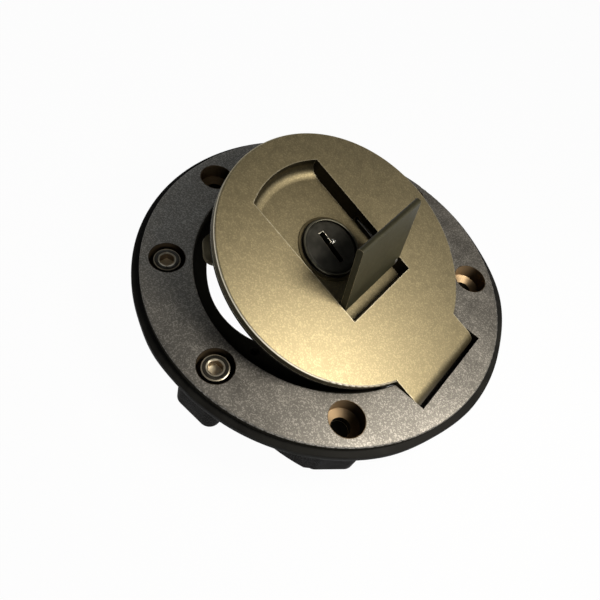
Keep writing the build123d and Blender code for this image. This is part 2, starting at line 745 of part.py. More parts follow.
def key_flap():
    """Flap over the lock, with its knuckle."""
    half = pocket_half_width - flap_side_gap
    flap = block(flap_pivot_x - flap_length, flap_pivot_x, half, 0, flap_thickness)
    end = flap.edges().filter_by(Axis.Y).group_by(Axis.X)[0]
    flap = fillet(end, flap_edge_round)
    flap += across(flap_pivot_drop, half, flap_pivot_x, flap_pivot_drop)
    room = block(flap_pivot_x - flap_pivot_drop - edge_round, flap_pivot_x + flap_pivot_drop + 1,
                 flap_spring_room / 2, -1, 2 * flap_pivot_drop + 1)
    flap -= Pos(0, half - flap_spring_room / 2, 0) * room
    flap -= across(flap_pin_radius + flap_pin_gap, half + 1, flap_pivot_x, flap_pivot_drop)
    return open_flap(flap)


def flap_pin():
    """Steel pin of the key flap."""
    return across(flap_pin_radius, flap_pin_half_length, flap_pivot_x, flap_pivot_drop)


def flap_spring():
    """Wire spring round the flap's pin, with its long leg in the pocket's side slot."""
    coil_radius = flap_pin_radius + flap_pin_gap + flap_spring_wire
    path = Helix(flap_spring_pitch, flap_spring_pitch * flap_spring_coils, coil_radius)
    section = Plane(path @ 0, z_dir=path % 0) * Circle(flap_spring_wire)
    coil = Rot(-90, 0, 0) * Rot(0, 0, -90) * sweep(section, path=path)
    y = pocket_half_width - flap_side_gap - flap_spring_room + flap_spring_wire
    coil = Pos(flap_pivot_x, y, level(flap_pivot_drop)) * coil
    end_y = y + flap_spring_pitch * flap_spring_coils
    bend_y = pocket_half_width + pocket_wall / 3
    low = level(flap_pivot_drop + coil_radius)
    slot_z = level((side_slot_top + pocket_depth) / 2)
    bend_x = flap_pivot_x - flap_spring_reach
    route = FilletPolyline((flap_pivot_x, end_y, low), (bend_x, bend_y, slot_z),
                           (side_slot_start_x + 1, bend_y, slot_z), radius=pocket_wall / 2)
    end = Plane(route @ 0, z_dir=route % 0) * Circle(flap_spring_wire)
    return coil + sweep(end, path=route)


# ---- written pieces ----------------------------------------------------------------------------
def pieces():
    """Every sub-part by its node name, in the rest position."""
    fixed = {
        "mounting_ring": mounting_ring(),
        "rim_gasket": rim_gasket(),
        "socket_bolts": Compound([socket_bolt(angle) for angle in fixed_bolt_angles]),
        "hinge_pin": hinge_pin(),
        "hinge_spring": hinge_spring(),
    }
    lid = {
        "lid_plate": lid_plate(),
        "dust_seal": dust_seal(),
        "lock_barrel": lock_barrel(),
        "key_plug": key_plug(),
        "keyway_ball": keyway_ball(),
        "tumbler_wafers": Compound(tumbler_wafers()),
        "latch_cam": latch_cam(),
        "latch_bolt_left": latch_bolt(1),
        "latch_bolt_right": latch_bolt(-1),
        "latch_spring_left": latch_spring(1),
        "latch_spring_right": latch_spring(-1),
        "housing_cap": housing_cap(),
        "lock_housing": lock_housing(),
        "housing_screws": Compound([housing_screw(angle) for angle in screw_angles]),
        "closing_plate": closing_plate(),
        "neck_seal": neck_seal(),
        "seal_retainer": seal_retainer(),
        "centre_screw": centre_screw(),
        "key_flap": key_flap(),
        "flap_pin": flap_pin(),
        "flap_spring": flap_spring(),
    }
    return fixed | {name: swing(shape) for name, shape in lid.items()}


os.makedirs("parts", exist_ok=True)
for name, shape in pieces().items():
    export_step(shape, f"parts/{name}.step")
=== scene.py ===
"""Looks of the hinged, locking fuel filler cap.

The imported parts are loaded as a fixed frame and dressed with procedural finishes. Small pieces whose
form is finer than the frame's solids are modelled here. Every length is in metres, +Z points out of
the tank and +X from the centre of the opening to the lid's hinge.
"""

from __future__ import annotations

import json
import logging
import math
from collections.abc import Callable, Sequence
from dataclasses import dataclass, field
from enum import Enum
from typing import Any

import bmesh
import bpy
from mathutils import Euler, Matrix, Vector

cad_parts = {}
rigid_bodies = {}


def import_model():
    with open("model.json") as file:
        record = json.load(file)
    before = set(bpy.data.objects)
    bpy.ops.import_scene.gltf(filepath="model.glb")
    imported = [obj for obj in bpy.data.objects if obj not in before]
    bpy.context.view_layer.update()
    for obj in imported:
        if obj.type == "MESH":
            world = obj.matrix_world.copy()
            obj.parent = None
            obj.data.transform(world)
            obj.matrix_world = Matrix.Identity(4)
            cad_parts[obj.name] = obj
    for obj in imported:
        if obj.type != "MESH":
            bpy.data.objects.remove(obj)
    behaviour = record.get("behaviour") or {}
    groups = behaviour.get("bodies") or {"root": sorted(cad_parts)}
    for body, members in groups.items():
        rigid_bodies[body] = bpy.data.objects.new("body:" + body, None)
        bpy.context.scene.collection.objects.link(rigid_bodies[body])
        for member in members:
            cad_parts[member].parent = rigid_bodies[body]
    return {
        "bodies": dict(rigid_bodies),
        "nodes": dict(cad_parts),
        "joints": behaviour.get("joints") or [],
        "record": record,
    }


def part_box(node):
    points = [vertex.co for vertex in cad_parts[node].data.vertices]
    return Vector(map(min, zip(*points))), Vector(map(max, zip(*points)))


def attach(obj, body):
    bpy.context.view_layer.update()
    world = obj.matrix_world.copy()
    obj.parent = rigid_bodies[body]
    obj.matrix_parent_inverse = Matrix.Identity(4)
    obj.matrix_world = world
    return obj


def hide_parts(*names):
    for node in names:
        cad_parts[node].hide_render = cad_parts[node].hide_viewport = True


LOG = logging.getLogger("filler_cap")
MM = 0.001
VECTOR = "NodeSocketVector"

UP = Vector((0, 0, 1))
ROUND_MIDDLE = 0.3  # how far inside its sides a rounding's middle point lies, as a share of its size

Colour = tuple[float, float, float]
Place = tuple[float, float, float]
Span = tuple[float, float]
Socket = bpy.types.NodeSocket


# ---- the frame ---------------------------------------------------------------------------------
class Body(Enum):
    """The bodies that pieces ride on."""

    RING = "ring"
    LID = "lid"
    KEY = "key"
    FLAP = "flap"


@dataclass
class CapFrame:
    """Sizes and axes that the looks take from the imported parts."""

    loaded: dict[str, Any]

    @property
    def nodes(self) -> dict[str, bpy.types.Object]:
        """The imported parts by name."""
        return self.loaded["nodes"]

    def joint(self, name: str) -> dict[str, Any]:
        """Find one joint by its name, as the record holds it."""
        return next(joint for joint in self.loaded["joints"] if joint["name"] == name)

    def mount(self, name: str) -> dict[str, Any]:
        """Find one mount by its name, as the record holds it."""
        return next(mount for mount in self.loaded["record"]["mounts"] if mount["name"] == name)

    def reach_along(self, node: str, way: Vector) -> float:
        """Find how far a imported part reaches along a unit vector, from the origin."""
        return max(vertex.co.dot(way) for vertex in self.nodes[node].data.vertices)

    @property
    def bolt_circle(self) -> float:
        """Radius of the circle that the bolt holes lie on."""
        return Vector(self.mount("front_hole")["pos_m"]).xy.length

    @property
    def ring_top(self) -> float:
        """Height of the ring's upper face."""
        return self.reach_along("mounting_ring", UP)

    @property
    def lid_swing(self) -> Matrix:
        """Matrix that carries a piece of the shut lid to its open place."""
        joint = self.joint("lid_hinge")
        pivot = Matrix.Translation(Vector(joint["pos_m"]))
        turn = Matrix.Rotation(-math.radians(joint["range_deg"][0]), 4, Vector(joint["axis"]))
        return pivot @ turn @ pivot.inverted()

    @property
    def lid_up(self) -> Vector:
        """Direction that the open lid's face looks in."""
        return self.lid_swing.to_3x3() @ UP

    @property
    def flap_up(self) -> Vector:
        """Direction that the raised flap's upper side looks in."""
        joint = self.joint("flap_hinge")
        turn = Matrix.Rotation(-math.radians(joint["range_deg"][0]), 3, Vector(joint["axis"]))
        return turn @ self.lid_up


# ---- shader nodes ------------------------------------------------------------------------------
@dataclass
class NodeSheet:
    """A node tree with short ways to add and join nodes."""

    tree: bpy.types.NodeTree

    def add(self, kind: str, inputs: dict[str, Any] | None = None, **settings: Any) -> bpy.types.Node:
        """Add one node.

        Args:
            kind: the node's type name.
            inputs: values or sockets for its inputs, by name or by place.
            **settings: the node's own settings.

        Returns:
            The new node.
        """
        node = self.tree.nodes.new(kind)
        for name, value in settings.items():
            setattr(node, name, value)
        self.feed(node, inputs or {})
        return node

    def feed(self, node: bpy.types.Node, inputs: dict[str, Any]) -> None:
        """Join sockets to a node's inputs, or set plain values there.

        Args:
            node: the node.
            inputs: values or sockets, by the input's name or place.
        """
        for name, value in inputs.items():
            if isinstance(value, Socket):
                self.tree.links.new(value, node.inputs[name])
            else:
                node.inputs[name].default_value = value

    def math(self, operation: str, *values: float | Socket, clamp: bool = False) -> Socket:
        """Add one Math node with its inputs in order, and give its result."""
        places = dict(enumerate(values))
        return self.add("ShaderNodeMath", places, operation=operation, use_clamp=clamp).outputs[0]

    def both(self, first: Socket, second: float | Socket) -> Socket:
        """Multiply two masks, or a mask by a share."""
        return self.math("MULTIPLY", first, second)

    def over(self, value: Socket, limit: float) -> Socket:
        """Mask the places where a value is above a limit."""
        return self.math("GREATER_THAN", value, limit)

    def under(self, value: Socket, limit: float) -> Socket:
        """Mask the places where a value is below a limit."""
        return self.math("LESS_THAN", value, limit)

    def between(self, mask: Socket, outside: float, inside: float) -> Socket:
        """Give one value where a mask is 0 and another where it is 1."""
        return self.math("MULTIPLY_ADD", mask, inside - outside, outside)

    def ramp(self, value: Socket, span: tuple[Any, Any], to_low: float = 0.0, to_high: float = 1.0) -> Socket:
        """Map a value smoothly from a span of values or sockets to another range."""
        ends = {"From Min": span[0], "From Max": span[1], "To Min": to_low, "To Max": to_high}
        node = self.add("ShaderNodeMapRange", {"Value": value, **ends}, interpolation_type="SMOOTHSTEP")
        return node.outputs["Result"]

    def noise(self, vector: Socket, scale: float | Socket, detail: float) -> Socket:
        """Add a noise pattern with so many features in a metre and so many finer layers."""
        inputs = {"Vector": vector, "Scale": scale, "Detail": detail}
        return self.add("ShaderNodeTexNoise", inputs).outputs[0]

    def local(self, vector: Socket, where: Vector, turn: Euler) -> Socket:
        """Measure a place from another origin and along turned axes."""
        inputs = {"Vector": vector, "Location": where, "Rotation": turn}
        return self.add("ShaderNodeMapping", inputs, vector_type="TEXTURE").outputs[0]

    def split(self, vector: Socket) -> tuple[Socket, Socket, Socket]:
        """Split a vector into its three parts."""
        parts = self.add("ShaderNodeSeparateXYZ", {"Vector": vector}).outputs
        return parts["X"], parts["Y"], parts["Z"]

    def dot(self, first: Any, second: Any) -> Socket:
        """Add the dot product of two vectors or their sockets."""
        node = self.add("ShaderNodeVectorMath", {0: first, 1: second}, operation="DOT_PRODUCT")
        return node.outputs["Value"]

    def length(self, across: Socket, along: Socket) -> Socket:
        """Add the length of a flat vector, from its two parts."""
        squares = self.math("MULTIPLY_ADD", across, across, self.math("MULTIPLY", along, along))
        return self.math("SQRT", squares)

    def mix(self, share: float | Socket, first: Any, second: Any, blend: str = "MIX") -> Socket:
        """Mix two colours or their sockets, with a share of the second."""
        inputs = {0: share, 6: rgba(first), 7: rgba(second)}
        return self.add("ShaderNodeMix", inputs, data_type="RGBA", blend_type=blend).outputs[2]

    def tint(self, colour: Any, shade: Any) -> Socket:
        """Multiply a colour by a shade or by another colour."""
        return self.mix(1.0, colour, shade, blend="MULTIPLY")


def rgba(colour: Any) -> Any:
    """Give a plain colour its alpha, and leave a socket as it is."""
    return colour if isinstance(colour, Socket) else (*colour[:3], 1.0)


@dataclass(frozen=True)
class SocketPlan:
    """One socket of a shader group."""

    name: str
    default: Any = None
    kind: str = "NodeSocketFloat"


PLACE = SocketPlan("Vector", kind=VECTOR)


class ShaderGroup:
    """A shader node group that several finishes share, built once."""

    name: str = "group"
    inputs: tuple[SocketPlan, ...] = ()
    outputs: tuple[SocketPlan, ...] = ()

    def tree(self) -> bpy.types.NodeTree:
        """Find the group's tree, or build it.

        Returns:
            The shader node tree.
        """
        found = bpy.data.node_groups.get(self.name)
        if found:
            return found
        made = bpy.data.node_groups.new(self.name, "ShaderNodeTree")
        for plan in self.inputs:
            socket = made.interface.new_socket(plan.name, in_out="INPUT", socket_type=plan.kind)
            if plan.default is not None:
                socket.default_value = plan.default
        for plan in self.outputs:
            made.interface.new_socket(plan.name, in_out="OUTPUT", socket_type=plan.kind)
        sheet = NodeSheet(made)
        source = sheet.add("NodeGroupInput")
        results = self.wire(sheet, source)
        sheet.add("NodeGroupOutput", results)
        return made

    def wire(self, sheet: NodeSheet, source: bpy.types.Node) -> dict[str, Socket]:
        """Build the group's inside.

        Args:
            sheet: the group's node tree.
            source: the group's input node.

        Returns:
            The socket for each output, by name.
        """
        raise NotImplementedError

    def place(self, sheet: NodeSheet, inputs: dict[str, Any]) -> bpy.types.Node:
        """Put the group into a material, with values or sockets for its inputs."""
        return sheet.add("ShaderNodeGroup", inputs, node_tree=self.tree())


class CastGrain(ShaderGroup):
    """Fine grain of a blasted or painted casting, with bright flakes and slow changes of tone."""

    name = "cast_grain"
    inputs = (
        PLACE, SocketPlan("Grain Size", 0.6 * MM), SocketPlan("Flake Size", 0.4 * MM),
        SocketPlan("Mottle Size", 6 * MM),
    )
    outputs = (SocketPlan("Height"), SocketPlan("Flakes"), SocketPlan("Mottle"))
    grain_detail = 3.0
    mottle_detail = 5.0

    def wire(self, sheet: NodeSheet, source: bpy.types.Node) -> dict[str, Socket]:
        """Build the grain, see the base class."""
        vector, *sizes = source.outputs[:len(self.inputs)]
        grain_scale, flake_scale, mottle_scale = (sheet.math("DIVIDE", 1.0, size) for size in sizes)
        cells = sheet.add("ShaderNodeTexVoronoi", {"Vector": vector, "Scale": flake_scale})
        shades = sheet.add("ShaderNodeSeparateColor", {"Color": cells.outputs["Color"]})
        return {
            "Height": sheet.noise(vector, grain_scale, self.grain_detail),
            "Flakes": shades.outputs[0],
            "Mottle": sheet.noise(vector, mottle_scale, self.mottle_detail),
        }


class EdgeWearAndHighlight(ShaderGroup):
    """Mask of worn edges, also used for painted highlights along edges, from how far a rounded normal leaves
    the true one.
    """

    name = "edge_wear_and_highlight"
    inputs = (PLACE, SocketPlan("Width", 0.4 * MM), SocketPlan("Breaks", 0.5))
    outputs = (SocketPlan("Mask"),)
    bend_span = (0.99, 0.85)
    break_scale = 700.0
    break_detail = 3.0
    break_span = (0.35, 0.6)

    def wire(self, sheet: NodeSheet, source: bpy.types.Node) -> dict[str, Socket]:
        """Build the mask, see the base class."""
        rounded = sheet.add("ShaderNodeBevel", {"Radius": source.outputs["Width"]}, samples=4)
        true = sheet.add("ShaderNodeNewGeometry")
        bend = sheet.ramp(sheet.dot(rounded.outputs[0], true.outputs["Normal"]), self.bend_span)
        noise = sheet.noise(source.outputs["Vector"], self.break_scale, self.break_detail)
        broken = sheet.both(source.outputs["Breaks"], sheet.ramp(noise, self.break_span))
        kept = sheet.math("SUBTRACT", 1.0, broken)
        return {"Mask": sheet.math("MULTIPLY", bend, kept, clamp=True)}


class Facing(ShaderGroup):
    """Mask of the faces that look along one direction of the piece."""

    name = "facing"
    inputs = (SocketPlan("Direction", UP, VECTOR), SocketPlan("From", 0.3), SocketPlan("To", 0.85))
    outputs = (SocketPlan("Mask"),)

    def wire(self, sheet: NodeSheet, source: bpy.types.Node) -> dict[str, Socket]:
        """Build the mask, see the base class."""
        normal = sheet.add("ShaderNodeTexCoord").outputs["Normal"]
        dot = sheet.dot(normal, source.outputs["Direction"])
        return {"Mask": sheet.ramp(dot, (source.outputs["From"], source.outputs["To"]))}

    def mask(self, sheet: NodeSheet, direction: Vector, span: Span) -> Socket:
        """Place the group for one direction, with the cosines at which the mask is 0 and 1."""
        inputs = {"Direction": direction, "From": span[0], "To": span[1]}
        return self.place(sheet, inputs).outputs["Mask"]


class CornerDirtAndShade(ShaderGroup):
    """Mask of dirt and painted shade in corners, from how much of the room round a point is shut in."""

    name = "dirt_and_shade"
    inputs = (PLACE, SocketPlan("Reach", 3 * MM))
    outputs = (SocketPlan("Mask"),)
    patch_scale = 500.0
    patch_detail = 4.0
    patch_depth = 0.3
    open_span = (0.85, 0.25)

    def wire(self, sheet: NodeSheet, source: bpy.types.Node) -> dict[str, Socket]:
        """Build the mask, see the base class."""
        room = sheet.add("ShaderNodeAmbientOcclusion", {"Distance": source.outputs["Reach"]}, samples=6)
        noise = sheet.noise(source.outputs["Vector"], self.patch_scale, self.patch_detail)
        shift = sheet.math("MULTIPLY_ADD", noise, self.patch_depth, -self.patch_depth / 2)
        return {"Mask": sheet.ramp(sheet.math("ADD", room.outputs["AO"], shift), self.open_span)}


class BoltHoles(ShaderGroup):
    """How far a point lies from the axis of the nearest bolt hole, without the hinge's place."""

    name = "bolt_holes"
    inputs = (PLACE, SocketPlan("Circle", 50 * MM), SocketPlan("Step", math.tau / 8))
    outputs = (SocketPlan("Away"), SocketPlan("Height"))

    def wire(self, sheet: NodeSheet, source: bpy.types.Node) -> dict[str, Socket]:
        """Fold the plane into one sector and measure from its hole, see the base class."""
        x, y, z = sheet.split(source.outputs["Vector"])
        angle, reach, step = sheet.math("ARCTAN2", y, x), sheet.length(x, y), source.outputs["Step"]
        turns = sheet.math("ROUND", sheet.math("DIVIDE", angle, step))
        folded = sheet.math("SUBTRACT", angle, sheet.math("MULTIPLY", turns, step))
        reach_along = sheet.math("MULTIPLY", reach, sheet.math("COSINE", folded))
        along = sheet.math("SUBTRACT", reach_along, source.outputs["Circle"])
        beside = sheet.math("MULTIPLY", reach, sheet.math("SINE", folded))
        at_hinge = sheet.under(sheet.math("ABSOLUTE", turns), 0.5)
        return {"Away": sheet.math("ADD", sheet.length(along, beside), at_hinge), "Height": z}


class TurnedMarks(ShaderGroup):
    """Rings of a lathe-turned face, with scratches round the axis."""

    name = "turned_marks"
    inputs = (PLACE, SocketPlan("Pitch", 0.3 * MM))
    outputs = (SocketPlan("Away"), SocketPlan("Height"))
    wander_scale = 900.0
    wander_detail = 2.0
    wander_turns = 1.5

    def wire(self, sheet: NodeSheet, source: bpy.types.Node) -> dict[str, Socket]:
        """Build the rings about the local Z axis, see the base class."""
        x, y, _ = sheet.split(source.outputs["Vector"])
        away = sheet.length(x, y)
        turns = sheet.math("DIVIDE", away, source.outputs["Pitch"])
        noise = sheet.noise(source.outputs["Vector"], self.wander_scale, self.wander_detail)
        wandered = sheet.math("ADD", turns, sheet.math("MULTIPLY", noise, self.wander_turns))
        wave = sheet.math("SINE", sheet.math("MULTIPLY", wandered, math.tau))
        return {"Away": away, "Height": sheet.math("MULTIPLY_ADD", wave, 0.5, 0.5)}


# ---- finishes ----------------------------------------------------------------------------------
class Front(Enum):
    """Direction that counts as the front of a piece."""

    UP = "up"
    LID = "lid"
    FLAP = "flap"

    def direction(self, frame: CapFrame) -> Vector:
        """Find the direction in the frame.

        Args:
            frame: the cap's frame.

        Returns:
            The unit vector.
        """
        if self is Front.LID:
            return frame.lid_up
        if self is Front.FLAP:
            return frame.flap_up
        return UP

@dataclass
class Look:
    """What a finish changes over its surface."""

    colour: Socket
    roughness: Socket
    height: Socket


@dataclass(frozen=True)
class Finish:
    """A plain finish that the others build on."""

    name: str
    colour: Colour
    metallic: float
    roughness: float
    specular: float = 0.5
    grazing_tint: float = 1.0
    grain_size: float = 0.5 * MM
    flake_size: float = 0.4 * MM
    mottle_size: float = 6.0 * MM
    grain_height: float = 0.02 * MM
    flake_tone: float = 0.0
    flake_span: Span = (0.5, 1.0)
    flake_dark: float = 0.4
    flake_bright: float = 1.2
    mottle_tone: float = 0.1
    mottle_span: Span = (0.3, 0.7)
    roughness_spread: float = 0.06
    worn_and_highlight_colour: Colour = (0.5, 0.48, 0.44)
    wear_and_highlight: float = 0.0
    wear_and_highlight_width: float = 0.4 * MM
    front: Front = Front.UP
    side_shade: float = 1.0
    side_span: Span = (0.3, 0.85)
    dirt_and_shade: float = 0.0
    dirt_and_shade_reach: float = 3.0 * MM
    dirt_and_shade_colour: Colour = (0.012, 0.011, 0.008)

    def build(self, frame: CapFrame) -> bpy.types.Material:
        """Make the material.

        Args:
            frame: the cap's frame, for finishes that follow its sizes.

        Returns:
            The new material.
        """
        material, sheet = blank_material(self.name)
        place = sheet.add("ShaderNodeTexCoord").outputs["Object"]
        sizes = {
            "Grain Size": self.grain_size, "Flake Size": self.flake_size, "Mottle Size": self.mottle_size,
        }
        look = self.look(sheet, place, CastGrain().place(sheet, {"Vector": place, **sizes}), frame)
        bump = sheet.add("ShaderNodeBump", {"Height": look.height, "Distance": self.grain_height})
        shader = sheet.add(
            "ShaderNodeBsdfPrincipled",
            {
                "Base Color": look.colour,
                "Metallic": self.metallic,
                "Roughness": look.roughness,
                "Specular IOR Level": self.specular,
                "Specular Tint": rgba((self.grazing_tint,) * 3),
                "Normal": bump.outputs[0],
            },
        )
        sheet.add("ShaderNodeOutputMaterial", {"Surface": shader.outputs[0]})
        return material

    def look(self, sheet: NodeSheet, place: Socket, grain: bpy.types.Node, frame: CapFrame) -> Look:
        """Work out what changes over the surface.

        Args:
            sheet: the material's node tree.
            place: the object coordinates.
            grain: the grain group node.
            frame: the cap's frame.

        Returns:
            The colour, roughness and height sockets.
        """
        dark, bright = 1 - self.flake_dark * self.flake_tone, 1 + self.flake_bright * self.flake_tone
        flakes = sheet.ramp(grain.outputs["Flakes"], self.flake_span, dark, bright)
        mottle = grain.outputs["Mottle"]
        slow = sheet.ramp(mottle, self.mottle_span, 1 - self.mottle_tone, 1 + self.mottle_tone)
        colour = sheet.tint(self.colour, sheet.both(flakes, slow))
        # Painted shade: faces that turn away from the piece's front direction are darkened.
        if self.side_shade < 1:
            facing = Facing().mask(sheet, self.front.direction(frame), self.side_span)
            colour = sheet.tint(colour, sheet.between(facing, self.side_shade, 1.0))
        # Worn edges, and painted highlights along the edges, are coloured bright.
        if self.wear_and_highlight > 0:
            edges = EdgeWearAndHighlight().place(sheet, {"Vector": place, "Width": self.wear_and_highlight_width})
            colour = sheet.mix(sheet.both(edges.outputs["Mask"], self.wear_and_highlight), colour, self.worn_and_highlight_colour)
        # Dirt and painted shade darken the corners and creases.
        if self.dirt_and_shade > 0:
            corner_dirt_and_shade = CornerDirtAndShade().place(sheet, {"Vector": place, "Reach": self.dirt_and_shade_reach})
            colour = sheet.mix(sheet.both(corner_dirt_and_shade.outputs["Mask"], self.dirt_and_shade), colour, self.dirt_and_shade_colour)
        smooth, rough = self.roughness - self.roughness_spread, self.roughness + self.roughness_spread
        return Look(colour, sheet.ramp(mottle, self.mottle_span, smooth, rough), grain.outputs["Height"])


def blank_material(name: str) -> tuple[bpy.types.Material, NodeSheet]:
    """Make a material with an empty node tree.

    Args:
        name: the material's name.

    Returns:
        The material and its node sheet.
    """
    material = bpy.data.materials.new(name)
    material.use_nodes = True
    material.node_tree.nodes.clear()
    return material, NodeSheet(material.node_tree)


@dataclass(frozen=True)
class RingCoat(Finish):
    """Dark coat of the ring, bare in the counterbores; painted shade makes it black below them, on the rim's
    side and in the recess (where the coat is also dark), and darkens the bare walls away from the light and
    round the screws; a painted highlight lines the bores' step.
    """

    counterbore: float = 5.5 * MM
    bare_margin: float = 0.15 * MM
    bare_colour: Colour = (0.62, 0.45, 0.27)
    bare_roughness: float = 0.5
    bare_lit_side: Place = (0.94, -0.12, 0.28)
    bare_lit_span: Span = (0.1, 1.0)
    bare_shade: float = 0.07
    filled_side: Place = (-0.383, -0.924, 0.0)
    filled_from: float = 35 * MM
    filled_shade: float = 0.3
    shoulder_top: float = 14.8 * MM
    step_drop: float = 2.6 * MM
    step_width: float = 0.1 * MM
    step_highlight_colour: Colour = (0.5, 0.46, 0.36)
    edge_radius: float = 59.45 * MM
    recess_radius: float = 43.42 * MM
    black: Colour = (0.03, 0.028, 0.022)
    dark_roughness: float = 0.9

    def look(self, sheet: NodeSheet, place: Socket, grain: bpy.types.Node, frame: CapFrame) -> Look:
        """Add the holes' bare metal, the painted shade and the painted highlight, see the base class."""
        look = super().look(sheet, place, grain, frame)
        holes = BoltHoles().place(sheet, {"Vector": place, "Circle": frame.bolt_circle}).outputs
        in_hole = sheet.under(holes["Away"], self.counterbore + self.bare_margin)
        bare = sheet.both(in_hole, sheet.over(holes["Height"], self.shoulder_top))
        below = sheet.math("SUBTRACT", in_hole, bare)
        step = sheet.math("COMPARE", holes["Height"], self.shoulder_top - self.step_drop, self.step_width)
        x, y, _ = sheet.split(place)
        reach = sheet.length(x, y)
        # Painted shade: the rim's side and the bores below the counterbores are black; in the recess the
        # black is partly the dark coat and partly painted shade.
        rim, well = sheet.over(reach, self.edge_radius), sheet.under(reach, self.recess_radius)
        dark = sheet.math("MAXIMUM", below, sheet.math("MAXIMUM", rim, well))
        # Painted light and shade: the bare walls are bright where they face the key lamp, darkened away from
        # it, and darkened round the two screws.
        lit = Facing().mask(sheet, Vector(self.bare_lit_side).normalized(), self.bare_lit_span)
        filled = sheet.over(sheet.dot(place, self.filled_side), self.filled_from)
        shade = sheet.both(
            sheet.between(lit, self.bare_shade, 1.0), sheet.between(filled, 1.0, self.filled_shade)
        )
        colour = sheet.mix(bare, look.colour, sheet.tint(self.bare_colour, shade))
        colour = sheet.mix(dark, colour, self.black)
        # Painted highlight: a thin bright line at the bores' step.
        colour = sheet.mix(sheet.both(below, step), colour, self.step_highlight_colour)
        rough = sheet.math("MULTIPLY_ADD", bare, self.bare_roughness - self.roughness, look.roughness)
        rough = sheet.math("MULTIPLY_ADD", dark, self.dark_roughness - self.roughness, rough)
        return Look(colour, rough, look.height)


@dataclass(frozen=True)
class LidCoat(Finish):
    """Champagne coat of the lid, with painted shade on the pocket's walls and floor and a painted highlight
    on one side of its edge.
    """

    pocket_reach: float = 39.0 * MM
    pocket_shade: float = 0.2
    steep_span: Span = (0.98, 0.6)
    foot_start: float = 13.6 * MM
    foot_drop: float = 0.7 * MM
    foot_shade: float = 0.75
    edge_reach: float = 41.3 * MM
    edge_span: Span = (0.25, 0.5)
    edge_highlight_colour: Colour = (1.0, 0.94, 0.78)
    edge_highlight_side: Place = (0.2, -1.0, 0.0)
    edge_highlight_span: Span = (5 * MM, 35 * MM)

    def look(self, sheet: NodeSheet, place: Socket, grain: bpy.types.Node, frame: CapFrame) -> Look:
        """Add the pocket's painted shade and the edge's painted highlight, see the base class."""
        look = super().look(sheet, place, grain, frame)
        where, turn, _ = frame.lid_swing.decompose()
        shut = sheet.local(place, where, turn.to_euler())
        x, y, z = sheet.split(shut)
        reach = sheet.length(x, y)
        # Painted shade: the steep walls inside the pocket are darkened.
        inside = sheet.under(reach, self.pocket_reach)
        steep = Facing().mask(sheet, frame.lid_up, self.steep_span)
        colour = sheet.tint(look.colour, sheet.between(sheet.both(inside, steep), 1.0, self.pocket_shade))
        # Painted shade: the pocket's floor behind the flap's foot is darkened.
        sunk = sheet.under(z, frame.ring_top - self.foot_drop)
        foot = sheet.both(sheet.both(sheet.over(x, self.foot_start), sunk), inside)
        colour = sheet.tint(colour, sheet.between(foot, 1.0, self.foot_shade))
        # Painted highlight: the lid's rounded edge is coloured bright on one side.
        leaning = sheet.both(Facing().mask(sheet, frame.lid_up, self.edge_span), steep)
        edge_highlight_side_mask = sheet.ramp(sheet.dot(shut, self.edge_highlight_side), self.edge_highlight_span)
        edge = sheet.both(sheet.over(reach, self.edge_reach), sheet.both(leaning, edge_highlight_side_mask))
        return Look(sheet.mix(edge, colour, self.edge_highlight_colour), look.roughness, look.height)


@dataclass(frozen=True)
class SocketSteel(Finish):
    """Blackened screw, brown on its socket's walls, with painted highlights on the socket's floor, round the
    socket's mouth and on the head's rim.
    """

    socket_radius: float = 2.35 * MM
    socket_drop: float = 0.2 * MM
    wall_colour: Colour = (0.2, 0.14, 0.08)
    floor_drop: float = 2.5 * MM
    floor_colour: Colour = (1.0, 0.9, 0.68)
    mouth: Span = (2.25 * MM, 2.75 * MM)
    rim_start: float = 3.78 * MM
    rim_highlight_colour: Colour = (0.5, 0.46, 0.36)

    def look(self, sheet: NodeSheet, place: Socket, grain: bpy.types.Node, frame: CapFrame) -> Look:
        """Add the socket's brown walls and the painted highlights, see the base class."""
        look = super().look(sheet, place, grain, frame)
        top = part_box("socket_bolts")[1].z
        holes = BoltHoles().place(sheet, {"Vector": place, "Circle": frame.bolt_circle}).outputs
        near = sheet.under(holes["Away"], self.socket_radius)
        wall = sheet.under(holes["Height"], top - self.socket_drop)
        floor = sheet.under(holes["Height"], top - self.floor_drop)
        colour = sheet.mix(sheet.both(near, wall), look.colour, self.wall_colour)
        # Painted highlight: the cone at the socket's floor is bright.
        colour = sheet.mix(sheet.both(near, floor), colour, self.floor_colour)
        # Painted highlights: the socket's mouth and the head's rim are bright.
        start, end = self.mouth
        mouth = sheet.math("COMPARE", holes["Away"], (start + end) / 2, (end - start) / 2)
        rim_and_mouth_highlight = sheet.math("MAXIMUM", mouth, sheet.over(holes["Away"], self.rim_start))
        rim_and_mouth_highlight = sheet.both(sheet.math("SUBTRACT", 1.0, wall), rim_and_mouth_highlight)
        return Look(sheet.mix(rim_and_mouth_highlight, colour, self.rim_highlight_colour), look.roughness, look.height)


